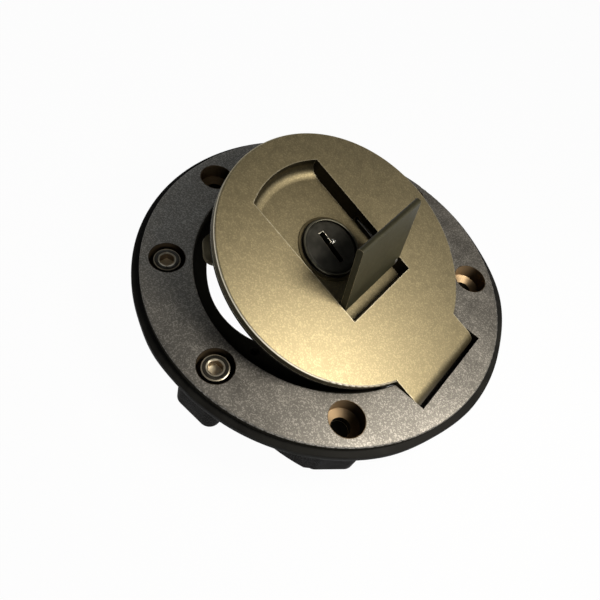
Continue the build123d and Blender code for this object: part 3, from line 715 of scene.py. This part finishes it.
@dataclass(frozen=True)
class TurnedFace(Finish):
    """Lathe-turned metal round the lock's axis, lighter outside a radius."""

    pitch: float = 0.35 * MM
    mark_height: float = 0.5
    lighter_radius: float = 7.9 * MM
    lighter_blur: float = 0.3 * MM
    lighter_tone: float = 1.35
    flange_radius: float = 10.1 * MM
    flange_colour: Colour = (0.2, 0.165, 0.09)

    def look(self, sheet: NodeSheet, place: Socket, grain: bpy.types.Node, frame: CapFrame) -> Look:
        """Add the turned rings, see the base class."""
        look = super().look(sheet, place, grain, frame)
        joint = frame.joint("key_turn")
        turn = UP.rotation_difference(Vector(joint["axis"])).to_euler()
        local = sheet.local(place, Vector(joint["pos_m"]), turn)
        marks = TurnedMarks().place(sheet, {"Vector": local, "Pitch": self.pitch}).outputs
        lighter_span = (self.lighter_radius, self.lighter_radius + self.lighter_blur)
        colour = sheet.tint(look.colour, sheet.ramp(marks["Away"], lighter_span, 1.0, self.lighter_tone))
        colour = sheet.mix(sheet.over(marks["Away"], self.flange_radius), colour, self.flange_colour)
        height = sheet.math("MULTIPLY_ADD", marks["Height"], self.mark_height, look.height)
        return Look(colour, look.roughness, height)


RING_COAT = RingCoat(
    "ring_coat", (0.258, 0.247, 0.226), 0.8, 0.5, specular=0.2, grazing_tint=0.4,
    grain_size=0.22 * MM, flake_size=0.3 * MM, grain_height=0.012 * MM, flake_tone=0.5,
    mottle_tone=0.06, side_shade=0.05, wear_and_highlight=0.35, worn_and_highlight_colour=(0.4, 0.38, 0.34), wear_and_highlight_width=0.25 * MM,
    dirt_and_shade=0.5,
)
LID_METAL = LidCoat(
    "lid_champagne", (0.348, 0.297, 0.178), 0.95, 0.5, grain_size=0.22 * MM, flake_size=0.34 * MM,
    grain_height=0.008 * MM, flake_tone=0.2, mottle_tone=0.02, mottle_size=2.5 * MM, wear_and_highlight=0.8,
    worn_and_highlight_colour=(0.95, 0.9, 0.7), wear_and_highlight_width=0.7 * MM, front=Front.LID, side_shade=0.2,
    side_span=(0.0, 0.4), dirt_and_shade=0.25, dirt_and_shade_reach=4 * MM, roughness_spread=0.02,
)
FLAP_METAL = Finish(
    "flap_metal", (0.036, 0.034, 0.018), 0.3, 0.5, specular=0.25, grain_size=0.5 * MM, flake_size=0.45 * MM,
    grain_height=0.015 * MM, flake_tone=0.08, wear_and_highlight=0.6, worn_and_highlight_colour=(0.6, 0.52, 0.34),
    wear_and_highlight_width=0.3 * MM, front=Front.FLAP, side_shade=0.8,
)
RUBBER = Finish(
    "black_rubber", (0.012, 0.012, 0.011), 0.0, 0.6, specular=0.08, grain_size=1.2 * MM,
    grain_height=0.02 * MM, mottle_tone=0.3, roughness_spread=0.1,
)
BOLT_STEEL = SocketSteel(
    "blackened_steel", (0.046, 0.042, 0.034), 0.7, 0.36, grain_size=0.8 * MM, grain_height=0.006 * MM,
    mottle_tone=0.35, wear_and_highlight=1.0, worn_and_highlight_colour=(0.9, 0.85, 0.7), wear_and_highlight_width=0.3 * MM, dirt_and_shade=0.5,
    dirt_and_shade_reach=2 * MM,
)
BRIGHT_STEEL = Finish(
    "plain_steel", (0.4, 0.39, 0.36), 0.8, 0.35, grain_size=0.8 * MM, grain_height=0.004 * MM,
    mottle_tone=0.15, wear_and_highlight=0.2, dirt_and_shade=0.8,
)
LIP_HIGHLIGHT_STEEL = Finish(
    "lip_highlight_steel", (0.85, 0.82, 0.7), 0.9, 0.3, grain_height=0.003 * MM, mottle_tone=0.3,
    mottle_size=1.0 * MM,
)
LOCK_METAL = TurnedFace(
    "lock_metal", (0.065, 0.063, 0.052), 0.4, 0.38, grain_size=1.0 * MM, grain_height=0.01 * MM,
    mottle_tone=0.2, mottle_size=3 * MM, wear_and_highlight=0.5, worn_and_highlight_colour=(0.45, 0.42, 0.33),
    wear_and_highlight_width=0.3 * MM, front=Front.LID, side_shade=0.25, dirt_and_shade=0.5, dirt_and_shade_reach=2 * MM,
)
COLLAR_METAL = TurnedFace(
    "collar_metal", (0.14, 0.134, 0.1), 0.8, 0.36, grain_height=0.005 * MM, wear_and_highlight=0.8,
    worn_and_highlight_colour=(0.9, 0.86, 0.7), wear_and_highlight_width=0.3 * MM, front=Front.LID, side_shade=0.05,
    dirt_and_shade=0.7, dirt_and_shade_reach=2 * MM, lighter_tone=1.0,
)
BALL_STEEL = Finish(
    "ball_steel", (0.95, 0.93, 0.86), 1.0, 0.22, grain_height=0.002 * MM, mottle_tone=0.1,
    mottle_size=1.0 * MM,
)
HOUSING_METAL = Finish(
    "housing_casting", (0.14, 0.14, 0.13), 0.5, 0.5, grain_size=0.7 * MM, grain_height=0.03 * MM,
    flake_tone=0.1, mottle_tone=0.12, wear_and_highlight=0.3, dirt_and_shade=0.5,
)
PLATED_STEEL = Finish(
    "plated_steel", (0.36, 0.32, 0.21), 0.7, 0.36, grain_size=1.5 * MM, grain_height=0.006 * MM,
    mottle_tone=0.25, wear_and_highlight=0.25, dirt_and_shade=0.5,
)
BRASS = Finish("brass", (0.62, 0.44, 0.17), 0.9, 0.35, grain_height=0.004 * MM, mottle_tone=0.2)
FINISHED_PARTS: tuple[tuple[Finish, tuple[str, ...]], ...] = (
    (RING_COAT, ("mounting_ring",)),
    (LID_METAL, ("lid_plate",)),
    (FLAP_METAL, ("key_flap",)),
    (RUBBER, ("rim_gasket", "dust_seal", "neck_seal")),
    (BOLT_STEEL, ("socket_bolts",)),
    (COLLAR_METAL, ("lock_barrel",)),
    (LOCK_METAL, ("key_plug",)),
    (BALL_STEEL, ("keyway_ball",)),
    (BRASS, ("tumbler_wafers",)),
    (HOUSING_METAL, ("housing_cap", "lock_housing")),
    (PLATED_STEEL, ("latch_cam", "latch_bolt_left", "latch_bolt_right", "closing_plate", "seal_retainer")),
    (BRIGHT_STEEL, (
        "hinge_pin", "hinge_spring", "flap_pin", "flap_spring", "latch_spring_left", "latch_spring_right",
        "housing_screws", "centre_screw",
    )),
)
NODE_FINISH: dict[str, Finish] = {name: finish for finish, names in FINISHED_PARTS for name in names}


@dataclass
class Wardrobe:
    """Makes each finish's material once."""

    frame: CapFrame
    made: dict[str, bpy.types.Material] = field(default_factory=dict)

    def material(self, finish: Finish) -> bpy.types.Material:
        """Find a finish's material, or make it."""
        if finish.name not in self.made:
            self.made[finish.name] = finish.build(self.frame)
        return self.made[finish.name]


@dataclass
class FrameDresser:
    """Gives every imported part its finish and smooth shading."""

    frame: CapFrame
    wardrobe: Wardrobe
    weld_gap: float = 0.002 * MM
    sharp_angle: float = 32.0
    flat_weight: int = 100

    def dress(self) -> None:
        """Dress all the parts."""
        for name, part in self.frame.nodes.items():
            finish = NODE_FINISH[name]
            for slot in part.material_slots:
                slot.link = "OBJECT"
                slot.material = self.wardrobe.material(finish)
            self.smooth(part)
            LOG.info("%s: %s", name, finish.name)

    def smooth(self, part: bpy.types.Object) -> None:
        """Shade a part's curved faces smooth and keep its corners sharp.

        Args:
            part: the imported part.
        """
        part.data.polygons.foreach_set("use_smooth", [True] * len(part.data.polygons))
        weld = part.modifiers.new("weld", "WELD")
        weld.merge_threshold = self.weld_gap
        split = part.modifiers.new("corners", "EDGE_SPLIT")
        split.split_angle = math.radians(self.sharp_angle)
        normals = part.modifiers.new("flat_faces", "WEIGHTED_NORMAL")
        normals.weight = self.flat_weight


# ---- modelled pieces ---------------------------------------------------------------------------
@dataclass
class Modeller:
    """Shared steps for the sub-assemblies that are shaped in edit mode."""

    frame: CapFrame
    wardrobe: Wardrobe
    slack: float = 0.01 * MM
    loop_slack: float = 0.004 * MM
    weld_gap: float = 0.001 * MM

    def select(self, piece: bpy.types.Object, kind: str, test: Callable[[Any], bool]) -> None:
        """Select the vertices, edges or faces that pass a test, in edit mode.

        Args:
            piece: the piece in edit mode.
            kind: "VERT", "EDGE" or "FACE".
            test: says of each element whether it is selected.
        """
        bpy.ops.mesh.select_mode(type=kind)
        bpy.ops.mesh.select_all(action="DESELECT")
        shape = bmesh.from_edit_mesh(piece.data)
        items = {"VERT": shape.verts, "EDGE": shape.edges, "FACE": shape.faces}[kind]
        for item in [item for item in items if test(item)]:
            item.select_set(True)
        shape.select_flush_mode()
        bmesh.update_edit_mesh(piece.data)

    def select_loop(self, piece: bpy.types.Object, *loops: tuple[float, float]) -> None:
        """Select whole loops of edges round the Z axis, in edit mode.

        Args:
            piece: the piece in edit mode.
            *loops: the radius and height of each loop.
        """
        near = self.loop_slack

        def on_loop(edge: bmesh.types.BMEdge) -> bool:
            """Say whether both ends of an edge lie on one of the loops."""
            return any(
                all(abs(v.co.xy.length - radius) < near and abs(v.co.z - height) < near for v in edge.verts)
                for radius, height in loops
            )

        self.select(piece, "EDGE", on_loop)

    def lathe(self, profile: Sequence[tuple[float, float]], around: int, closed: bool) -> bpy.types.Object:
        """Draw a ring and carry it along a profile by extruding, then leave it in edit mode.

        Args:
            profile: radius and height of each step.
            around: vertices round the axis.
            closed: join the last step to the first.

        Returns:
            The piece, in edit mode.
        """
        bpy.ops.object.select_all(action="DESELECT")
        radius, height = profile[0]
        bpy.ops.mesh.primitive_circle_add(
            vertices=around, radius=radius, fill_type="NOTHING", location=(0, 0, height)
        )
        piece = bpy.context.active_object
        bpy.ops.object.transform_apply(location=True)
        bpy.ops.object.mode_set(mode="EDIT")
        bpy.ops.mesh.select_mode(type="EDGE")
        bpy.ops.mesh.select_all(action="SELECT")
        for before, after in zip(profile, profile[1:]):
            lift = (0, 0, after[1] - before[1])
            bpy.ops.mesh.extrude_region_move(TRANSFORM_OT_translate={"value": lift})
            share = after[0] / before[0]
            bpy.ops.transform.resize(value=(share, share, 1), center_override=(0, 0, 0))
        if closed:
            self.select_loop(piece, profile[0], profile[-1])
            bpy.ops.mesh.bridge_edge_loops()
        return piece

    def finish_mesh(self, piece: bpy.types.Object, name: str, smooth_angle: float = 30.0) -> None:
        """Close the doubles, turn the faces outwards, leave edit mode, and shade smooth.

        Args:
            piece: the piece, in edit mode.
            name: the piece's name.
            smooth_angle: edges sharper than this, in degrees, stay sharp.
        """
        bpy.ops.mesh.select_all(action="SELECT")
        bpy.ops.mesh.remove_doubles(threshold=self.weld_gap)
        bpy.ops.mesh.normals_make_consistent(inside=False)
        bpy.ops.object.mode_set(mode="OBJECT")
        bpy.ops.object.shade_smooth_by_angle(angle=math.radians(smooth_angle))
        piece.name = name
        piece.data.name = name

    def settle(self, piece: bpy.types.Object, place: Matrix) -> None:
        """Put a piece in its place and leave its object at the origin.

        Args:
            piece: the piece.
            place: matrix that carries its mesh to its place.
        """
        bpy.ops.object.select_all(action="DESELECT")
        bpy.context.view_layer.objects.active = piece
        piece.select_set(True)
        piece.matrix_world = place
        bpy.ops.object.transform_apply(location=True, rotation=True, scale=True)

    def enter(self, piece: bpy.types.Object, body: Body, slot: str, finish: Finish, *stands_for: str) -> None:
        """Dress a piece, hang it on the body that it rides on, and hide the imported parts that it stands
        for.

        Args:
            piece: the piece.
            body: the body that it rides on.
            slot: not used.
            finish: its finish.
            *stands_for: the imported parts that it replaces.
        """
        piece.data.materials.clear()
        piece.data.materials.append(self.wardrobe.material(finish))
        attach(piece, body.value)
        if stands_for:
            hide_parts(*stands_for)
        LOG.info("%s: %d faces, %s", piece.name, len(piece.data.polygons), finish.name)


@dataclass
class SocketBolts(Modeller):
    """The two short socket head screws that are left in the ring."""

    angles: tuple[float, ...] = (225.0, 270.0)
    head_radius: float = 4.25 * MM
    head_height: float = 5.0 * MM
    shank_radius: float = 2.5 * MM
    socket_sides: int = 6
    socket_width: float = 4.0 * MM
    socket_depth: float = 2.4 * MM
    socket_tip: float = 0.9 * MM
    cone_share: float = 0.88
    mouth_radius: float = 2.65 * MM
    mouth_drop: float = 0.25 * MM
    rim_bevel: float = 0.45 * MM
    knurl_depth: float = 0.12 * MM
    knurl_margin: float = 0.9 * MM
    tip_bevel: float = 0.6 * MM
    around: int = 72

    def build(self) -> None:
        """Model one screw, copy it, and seat both."""
        first = self.model()
        bolts = [first]
        for _ in self.angles[1:]:
            copy = first.copy()
            copy.data = first.data.copy()
            bpy.context.scene.collection.objects.link(copy)
            bolts.append(copy)
        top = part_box("socket_bolts")[1].z
        for bolt, angle in zip(bolts, self.angles):
            bolt.name = bolt.data.name = f"socket_bolt_{angle:.0f}"
            arm = Matrix.Rotation(math.radians(angle), 4, "Z")
            self.settle(bolt, arm @ Matrix.Translation((self.frame.bolt_circle, 0, top)))
            self.enter(bolt, Body.RING, "dark_screws", BOLT_STEEL, "socket_bolts")

    def model(self) -> bpy.types.Object:
        """Model a screw with the middle of its head's top at the origin.

        Returns:
            The screw.
        """
        low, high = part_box("socket_bolts")
        length = high.z - low.z
        head, bevel, shank = self.head_radius, self.rim_bevel, self.shank_radius
        middle = bevel * ROUND_MIDDLE
        band_top, band_end = -self.knurl_margin, -self.head_height + self.knurl_margin / 2
        profile = (
            (self.mouth_radius, 0.0), (head - bevel, 0.0), (head - middle, -middle),
            (head, -bevel), (head, band_top), (head, band_end), (head - bevel, -self.head_height),
            (shank, -self.head_height), (shank, -length + self.tip_bevel), (shank - self.tip_bevel, -length),
        )
        bolt = self.lathe(profile, self.around, closed=False)
        bpy.ops.mesh.edge_face_add()
        self.knurl(bolt, band_top, band_end)
        self.socket(bolt)
        self.finish_mesh(bolt, "socket_bolt", smooth_angle=28)
        return bolt

    def knurl(self, bolt: bpy.types.Object, top: float, end: float) -> None:
        """Press every second line of the head's side in.

        Args:
            bolt: the screw, in edit mode.
            top: upper end of the knurled band.
            end: lower end of the band.
        """
        step = math.tau / self.around

        def pressed(vertex: bmesh.types.BMVert) -> bool:
            """Say whether a vertex lies on the band and on a pressed line."""
            turn = round(math.atan2(vertex.co.y, vertex.co.x) / step)
            return turn % 2 == 1 and end - self.slack < vertex.co.z < top + self.slack

        self.select(bolt, "VERT", pressed)
        share = 1 - self.knurl_depth / self.head_radius
        bpy.ops.transform.resize(value=(share, share, 1), center_override=(0, 0, 0))

    def socket(self, bolt: bpy.types.Object) -> None:
        """Sink the hexagon with its conical bottom, and join it to the head's mouth.

        Args:
            bolt: the screw, in edit mode.
        """
        corner = self.socket_width / math.sqrt(3)
        bpy.ops.mesh.select_all(action="DESELECT")
        bpy.ops.mesh.primitive_circle_add(
            vertices=self.socket_sides, radius=corner, fill_type="NOTHING", location=(0, 0, -self.mouth_drop)
        )
        bpy.ops.mesh.subdivide(number_cuts=self.around // self.socket_sides - 1)
        bpy.ops.mesh.extrude_region_move(TRANSFORM_OT_translate={"value": (0, 0, -self.socket_depth)})
        bpy.ops.mesh.extrude_region_move()
        bpy.ops.transform.tosphere(value=1.0)
        bpy.ops.transform.resize(value=(self.cone_share, self.cone_share, 1))
        bpy.ops.mesh.extrude_region_move(TRANSFORM_OT_translate={"value": (0, 0, -self.socket_tip)})
        bpy.ops.mesh.merge(type="CENTER")
        far, reach = self.socket_depth / 2, self.mouth_radius + self.slack

        def on_mouth(edge: bmesh.types.BMEdge) -> bool:
            """Say whether an edge is on the round mouth or on the hexagon's upper loop."""
            if len(edge.link_faces) != 1:
                return False
            return all(v.co.z > -far and v.co.xy.length < reach for v in edge.verts)

        self.select(bolt, "EDGE", on_mouth)
        bpy.ops.mesh.bridge_edge_loops()


@dataclass(frozen=True)
class Pull:
    """A place where the soft gasket is out of round: degrees from the hinge, how far, how wide."""

    angle: float
    reach: float
    spread: float


def flat_direction(degrees: float) -> Vector:
    """Find the level direction at an angle from the hinge."""
    turn = math.radians(degrees)
    return Vector((math.cos(turn), math.sin(turn), 0))


@dataclass
class RimGasket(Modeller):
    """Soft rubber ring that stands out under the ring's lip, a little out of round."""

    inner_radius: float = 57.3 * MM
    lip_gap: float = 0.02 * MM
    edge_round: float = 0.6 * MM
    bead_width: float = 2.46 * MM
    bead_height: float = 0.4 * MM
    seam_depth: float = 0.12 * MM
    around: int = 240
    pull_steps: float = 0.55
    pulls: tuple[Pull, ...] = (
        Pull(40.0, 0.9 * MM, 24 * MM), Pull(340.0, -0.5 * MM, 18 * MM), Pull(255.0, 0.35 * MM, 12 * MM),
    )

    def build(self) -> None:
        """Model the ring, pull it out of round, and hang it under the lip."""
        low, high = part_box("rim_gasket")
        outer = min(high.x, high.y, -low.x, -low.y)
        top, bottom = high.z - self.lip_gap, low.z
        edge, seam, inner = self.edge_round, self.seam_depth, self.inner_radius
        inset = edge * ROUND_MIDDLE
        middle = (top + bottom) / 2
        bead, bead_top = outer - self.bead_width, bottom + self.bead_height
        profile = (
            (inner, top), (outer - edge, top), (outer - inset, top - inset), (outer, top - edge),
            (outer, middle + seam), (outer - seam, middle), (outer, middle - seam),
            (outer, bottom + edge), (outer - inset, bottom + inset), (outer - edge, bottom),
            (bead, bottom), (bead, bead_top), (inner, bead_top),
        )
        gasket = self.lathe(profile, self.around, closed=True)
        for pull in self.pulls:
            self.pull(gasket, pull)
        self.finish_mesh(gasket, "gasket_ring", smooth_angle=40)
        self.enter(gasket, Body.RING, "rubber", RUBBER, "rim_gasket")

    def pull(self, gasket: bpy.types.Object, pull: Pull) -> None:
        """Pull the outer edge outwards or inwards, fading along the ring.

        Args:
            gasket: the ring, in edit mode.
            pull: where, how far and how wide.
        """
        ahead = flat_direction(pull.angle)
        near_angle = self.pull_steps * math.tau / self.around
        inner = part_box("rim_gasket")[1].x - self.bead_width / 2

        def near(vertex: bmesh.types.BMVert) -> bool:
            """Say whether a vertex is on the outer edge in this direction."""
            off = ahead.angle(Vector((vertex.co.x, vertex.co.y, 0)))
            return off < near_angle and vertex.co.xy.length > inner

        self.select(gasket, "VERT", near)
        bpy.ops.transform.translate(
            value=ahead * pull.reach, use_proportional_edit=True, proportional_edit_falloff="SMOOTH",
            proportional_size=pull.spread, use_proportional_connected=True,
        )


@dataclass
class LidSeal(Modeller):
    """Soft rubber ring under the lid's edge, with a thin lip that stands out beside the hinge's tab."""

    outer_radius: float = 42.18 * MM
    corner_angle: float = -24.0
    corner_spread: float = 5.0
    corner_reach: float = 0.45 * MM
    lip_start: float = 0.7 * MM
    drop: float = 0.92 * MM
    edge_round: float = 0.12 * MM
    tab_half_width: float = 16.0 * MM
    around: int = 240

    def build(self) -> None:
        """Model the ring under the shut lid, open it at the hinge's tab, and swing it with the lid."""
        shut = self.frame.lid_swing.inverted()
        points = [shut @ vertex.co for vertex in self.frame.nodes["dust_seal"].data.vertices]
        inner = min(point.xy.length for point in points)
        top = max(point.z for point in points)
        outer, bottom, edge = self.outer_radius, top - self.drop, self.edge_round
        profile = (
            (inner, top), (outer, top), (outer, bottom + edge), (outer - edge, bottom),
            (outer - self.lip_start, bottom), (outer - self.lip_start - edge, bottom + edge),
            (inner + edge, bottom + edge), (inner, bottom + 2 * edge),
        )
        seal = self.lathe(profile, self.around, closed=True)
        corner, spread = flat_direction(self.corner_angle), math.radians(self.corner_spread)

        def at_corner(vertex: bmesh.types.BMVert) -> bool:
            """Say whether a vertex is on the lip beside the tab's near corner."""
            flat = Vector((vertex.co.x, vertex.co.y, 0))
            return corner.angle(flat) < spread and flat.length > outer - edge / 2

        self.select(seal, "VERT", at_corner)
        bpy.ops.transform.translate(value=corner * self.corner_reach)

        def at_tab(face: bmesh.types.BMFace) -> bool:
            """Say whether a face lies where the hinge's tab is."""
            middle = face.calc_center_median()
            return middle.x > 0 and abs(middle.y) < self.tab_half_width

        self.select(seal, "FACE", at_tab)
        bpy.ops.mesh.delete(type="FACE")
        bpy.ops.mesh.select_all(action="SELECT")
        bpy.ops.mesh.fill_holes(sides=0)
        self.finish_mesh(seal, "lid_seal")
        self.settle(seal, self.frame.lid_swing)
        self.enter(seal, Body.LID, "rubber", RUBBER, "dust_seal")


@dataclass
class KeywayLip(Modeller):
    """Thin raised lip in bright steel along one side and one end of the keyway in the plug's face, only where
    the rim catches the light: a painted highlight.
    """

    length: float = 11.2 * MM
    width: float = 1.9 * MM
    lip_width: float = 0.28 * MM
    lip_height: float = 0.14 * MM
    lean: float = -5.0
    cut: float = -0.5 * MM
    edge: float = 0.05 * MM

    def build(self) -> None:
        """Draw the keyway's outline, inset it, keep two of its sides, and raise them."""
        bpy.ops.object.select_all(action="DESELECT")
        bpy.ops.mesh.primitive_plane_add(size=1.0)
        lip = bpy.context.active_object
        bpy.ops.object.mode_set(mode="EDIT")
        grow = 2 * self.lip_width
        bpy.ops.mesh.select_all(action="SELECT")
        bpy.ops.transform.resize(value=(self.length + grow, self.width + grow, 1))
        bpy.ops.mesh.inset(thickness=self.lip_width, depth=0)
        bpy.ops.mesh.delete(type="FACE")
        bpy.ops.mesh.select_all(action="SELECT")
        # Only the lit end and side are kept, so the bright lip stands for a painted highlight on the keyway's
        # rim.
        bpy.ops.mesh.bisect(plane_co=(self.cut, 0, 0), plane_no=(1, 0, 0), clear_outer=True)
        self.select(lip, "FACE", lambda face: face.calc_center_median().y < -self.width / 4)
        bpy.ops.mesh.delete(type="FACE")
        bpy.ops.mesh.select_all(action="SELECT")
        bpy.ops.mesh.extrude_region_move(TRANSFORM_OT_translate={"value": (0, 0, self.lip_height)})
        bpy.ops.mesh.bevel(offset=self.edge, segments=2, affect="EDGES")
        self.finish_mesh(lip, "keyway_lip")
        key = self.frame.joint("key_turn")
        up = self.frame.lid_up
        face = self.frame.reach_along("key_plug", up)
        axis = Vector(key["pos_m"])
        seat = axis + up * (face - axis.dot(up))
        lean = Matrix.Rotation(math.radians(self.lean), 4, "Z")
        self.settle(lip, Matrix.Translation(seat) @ self.frame.lid_swing.to_3x3().to_4x4() @ lean)
        self.enter(lip, Body.KEY, "lock_metal", LIP_HIGHLIGHT_STEEL)


# ---- studio ------------------------------------------------------------------------------------
@dataclass(frozen=True)
class SoftLamp:
    """One area lamp of the studio."""

    name: str
    place: Place
    aim: Place
    size: float
    power: float
    colour: Colour = (1.0, 1.0, 1.0)

    def build(self) -> bpy.types.Object:
        """Make the lamp.

        Returns:
            The lamp's object.
        """
        data = bpy.data.lights.new(self.name, "AREA")
        data.shape = "DISK"
        data.size, data.energy, data.color = self.size, self.power, self.colour
        lamp = bpy.data.objects.new(self.name, data)
        bpy.context.scene.collection.objects.link(lamp)
        lamp.location = self.place
        lamp.rotation_euler = (Vector(self.aim) - Vector(self.place)).to_track_quat("-Z", "Y").to_euler()
        lamp.visible_camera = False
        return lamp


@dataclass
class Studio:
    """Pale floor with a curved backdrop, soft light and the camera."""

    lamps: tuple[SoftLamp, ...] = (
        SoftLamp(
            "key_lamp", place=(0.088, 0.012, 0.152), aim=(0.01, -0.01, 0.025), size=0.07, power=0.235,
            colour=(1.0, 0.93, 0.82),
        ),
        SoftLamp(
            "fill_lamp", place=(0.36, -0.32, 0.24), aim=(0.0, 0.0, 0.02), size=0.3, power=0.8,
            colour=(1.0, 0.97, 0.93),
        ),
        SoftLamp(
            "back_lamp", place=(-0.3, 0.2, 0.33), aim=(-0.03, 0.0, 0.02), size=0.2, power=0.085,
            colour=(0.9, 0.96, 1.0),
        ),
    )
    world_strength: float = 0.05
    world_colour: Colour = (1.0, 0.95, 0.88)
    white_share: float = 0.97
    white: Colour = (1.0, 1.0, 1.0)
    floor_colour: Colour = (0.8, 0.8, 0.8)
    floor_radius: float = 1.6
    floor_sides: int = 96
    backdrop_rise: float = 0.8
    backdrop_steps: int = 12
    camera_place: Place = (0.04024, -0.11213, 0.16632)
    camera_right: Place = (0.740818, 0.635590, 0.217286)
    camera_up: Place = (-0.629592, 0.544292, 0.554404)
    lens: float = 34.40
    sensor_width: float = 36.0
    shift: Span = (0.00458, -0.02113)
    nearest: float = 5 * MM

    def build(self) -> None:
        """Make the whole studio."""
        self.floor()
        self.world()
        for lamp in self.lamps:
            lamp.build()
        self.camera()
        bpy.context.scene.view_settings.view_transform = "Standard"

    def floor(self) -> None:
        """Lay a pale floor that curves up into a low backdrop all round."""
        sides, radius = self.floor_sides, self.floor_radius
        bpy.ops.mesh.primitive_circle_add(vertices=sides, radius=radius, fill_type="NGON")
        floor = bpy.context.active_object
        floor.name = "studio_floor"
        bpy.ops.object.mode_set(mode="EDIT")
        bpy.ops.mesh.select_mode(type="EDGE")
        bpy.ops.mesh.select_all(action="SELECT")
        bpy.ops.mesh.region_to_loop()
        turns = [math.pi / 2 * step / self.backdrop_steps for step in range(self.backdrop_steps + 1)]
        for start, end in zip(turns, turns[1:]):
            lift = self.backdrop_rise * (math.cos(start) - math.cos(end))
            bpy.ops.mesh.extrude_region_move(TRANSFORM_OT_translate={"value": (0, 0, lift)})
            before, after = self.backdrop_radius(start), self.backdrop_radius(end)
            bpy.ops.transform.resize(value=(after / before, after / before, 1))
        bpy.ops.object.mode_set(mode="OBJECT")
        bpy.ops.object.shade_smooth()
        floor.data.materials.append(self.pale_material())

    def backdrop_radius(self, turn: float) -> float:
        """Find the backdrop's radius where it has turned up by an angle."""
        return self.floor_radius + self.backdrop_rise * math.sin(turn)

    def pale_material(self) -> bpy.types.Material:
        """Make the floor's material: nearly white where it is seen, with the cap's shadow kept.

        Returns:
            The new material.
        """
        material, sheet = blank_material("pale_floor")
        diffuse = sheet.add("ShaderNodeBsdfDiffuse", {"Color": rgba(self.floor_colour)})
        glow = sheet.add("ShaderNodeEmission", {"Color": rgba(self.white), "Strength": 1.0})
        rays = sheet.add("ShaderNodeLightPath").outputs
        seen = sheet.math("MAXIMUM", rays["Is Camera Ray"], rays["Is Glossy Ray"])
        seen = sheet.math("MAXIMUM", seen, rays["Is Transmission Ray"])
        share = sheet.both(seen, self.white_share)
        both = sheet.add("ShaderNodeMixShader", {0: share, 1: diffuse.outputs[0], 2: glow.outputs[0]})
        sheet.add("ShaderNodeOutputMaterial", {"Surface": both.outputs[0]})
        return material

    def world(self) -> None:
        """Surround the cap with plain soft light."""
        world = bpy.data.worlds.new("studio")
        bpy.context.scene.world = world
        world.use_nodes = True
        world.node_tree.nodes.clear()
        sheet = NodeSheet(world.node_tree)
        light = {"Color": rgba(self.world_colour), "Strength": self.world_strength}
        soft = sheet.add("ShaderNodeBackground", light)
        sheet.add("ShaderNodeOutputWorld", {"Surface": soft.outputs[0]})

    def camera(self) -> None:
        """Stand the camera close above the cap, on the side of the two screws."""
        data = bpy.data.cameras.new("camera")
        data.lens = self.lens
        data.sensor_width = self.sensor_width
        data.shift_x, data.shift_y = self.shift
        data.clip_start = self.nearest
        camera = bpy.data.objects.new("camera", data)
        bpy.context.scene.collection.objects.link(camera)
        right, up = Vector(self.camera_right), Vector(self.camera_up)
        turn = Matrix((right, up, right.cross(up))).transposed().to_4x4()
        camera.matrix_world = Matrix.Translation(Vector(self.camera_place)) @ turn
        bpy.context.scene.camera = camera


def main() -> None:
    """Load the frame, dress it, and set the studio."""
    logging.basicConfig(level=logging.INFO, format="%(name)s: %(message)s")
    frame = CapFrame(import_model())
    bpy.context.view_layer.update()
    bpy.ops.object.select_all(action="DESELECT")
    wardrobe = Wardrobe(frame)
    FrameDresser(frame, wardrobe).dress()
    for assembly in (SocketBolts, RimGasket, LidSeal, KeywayLip):
        assembly(frame, wardrobe).build()
    Studio().build()


if __name__ == "__main__":
    main()
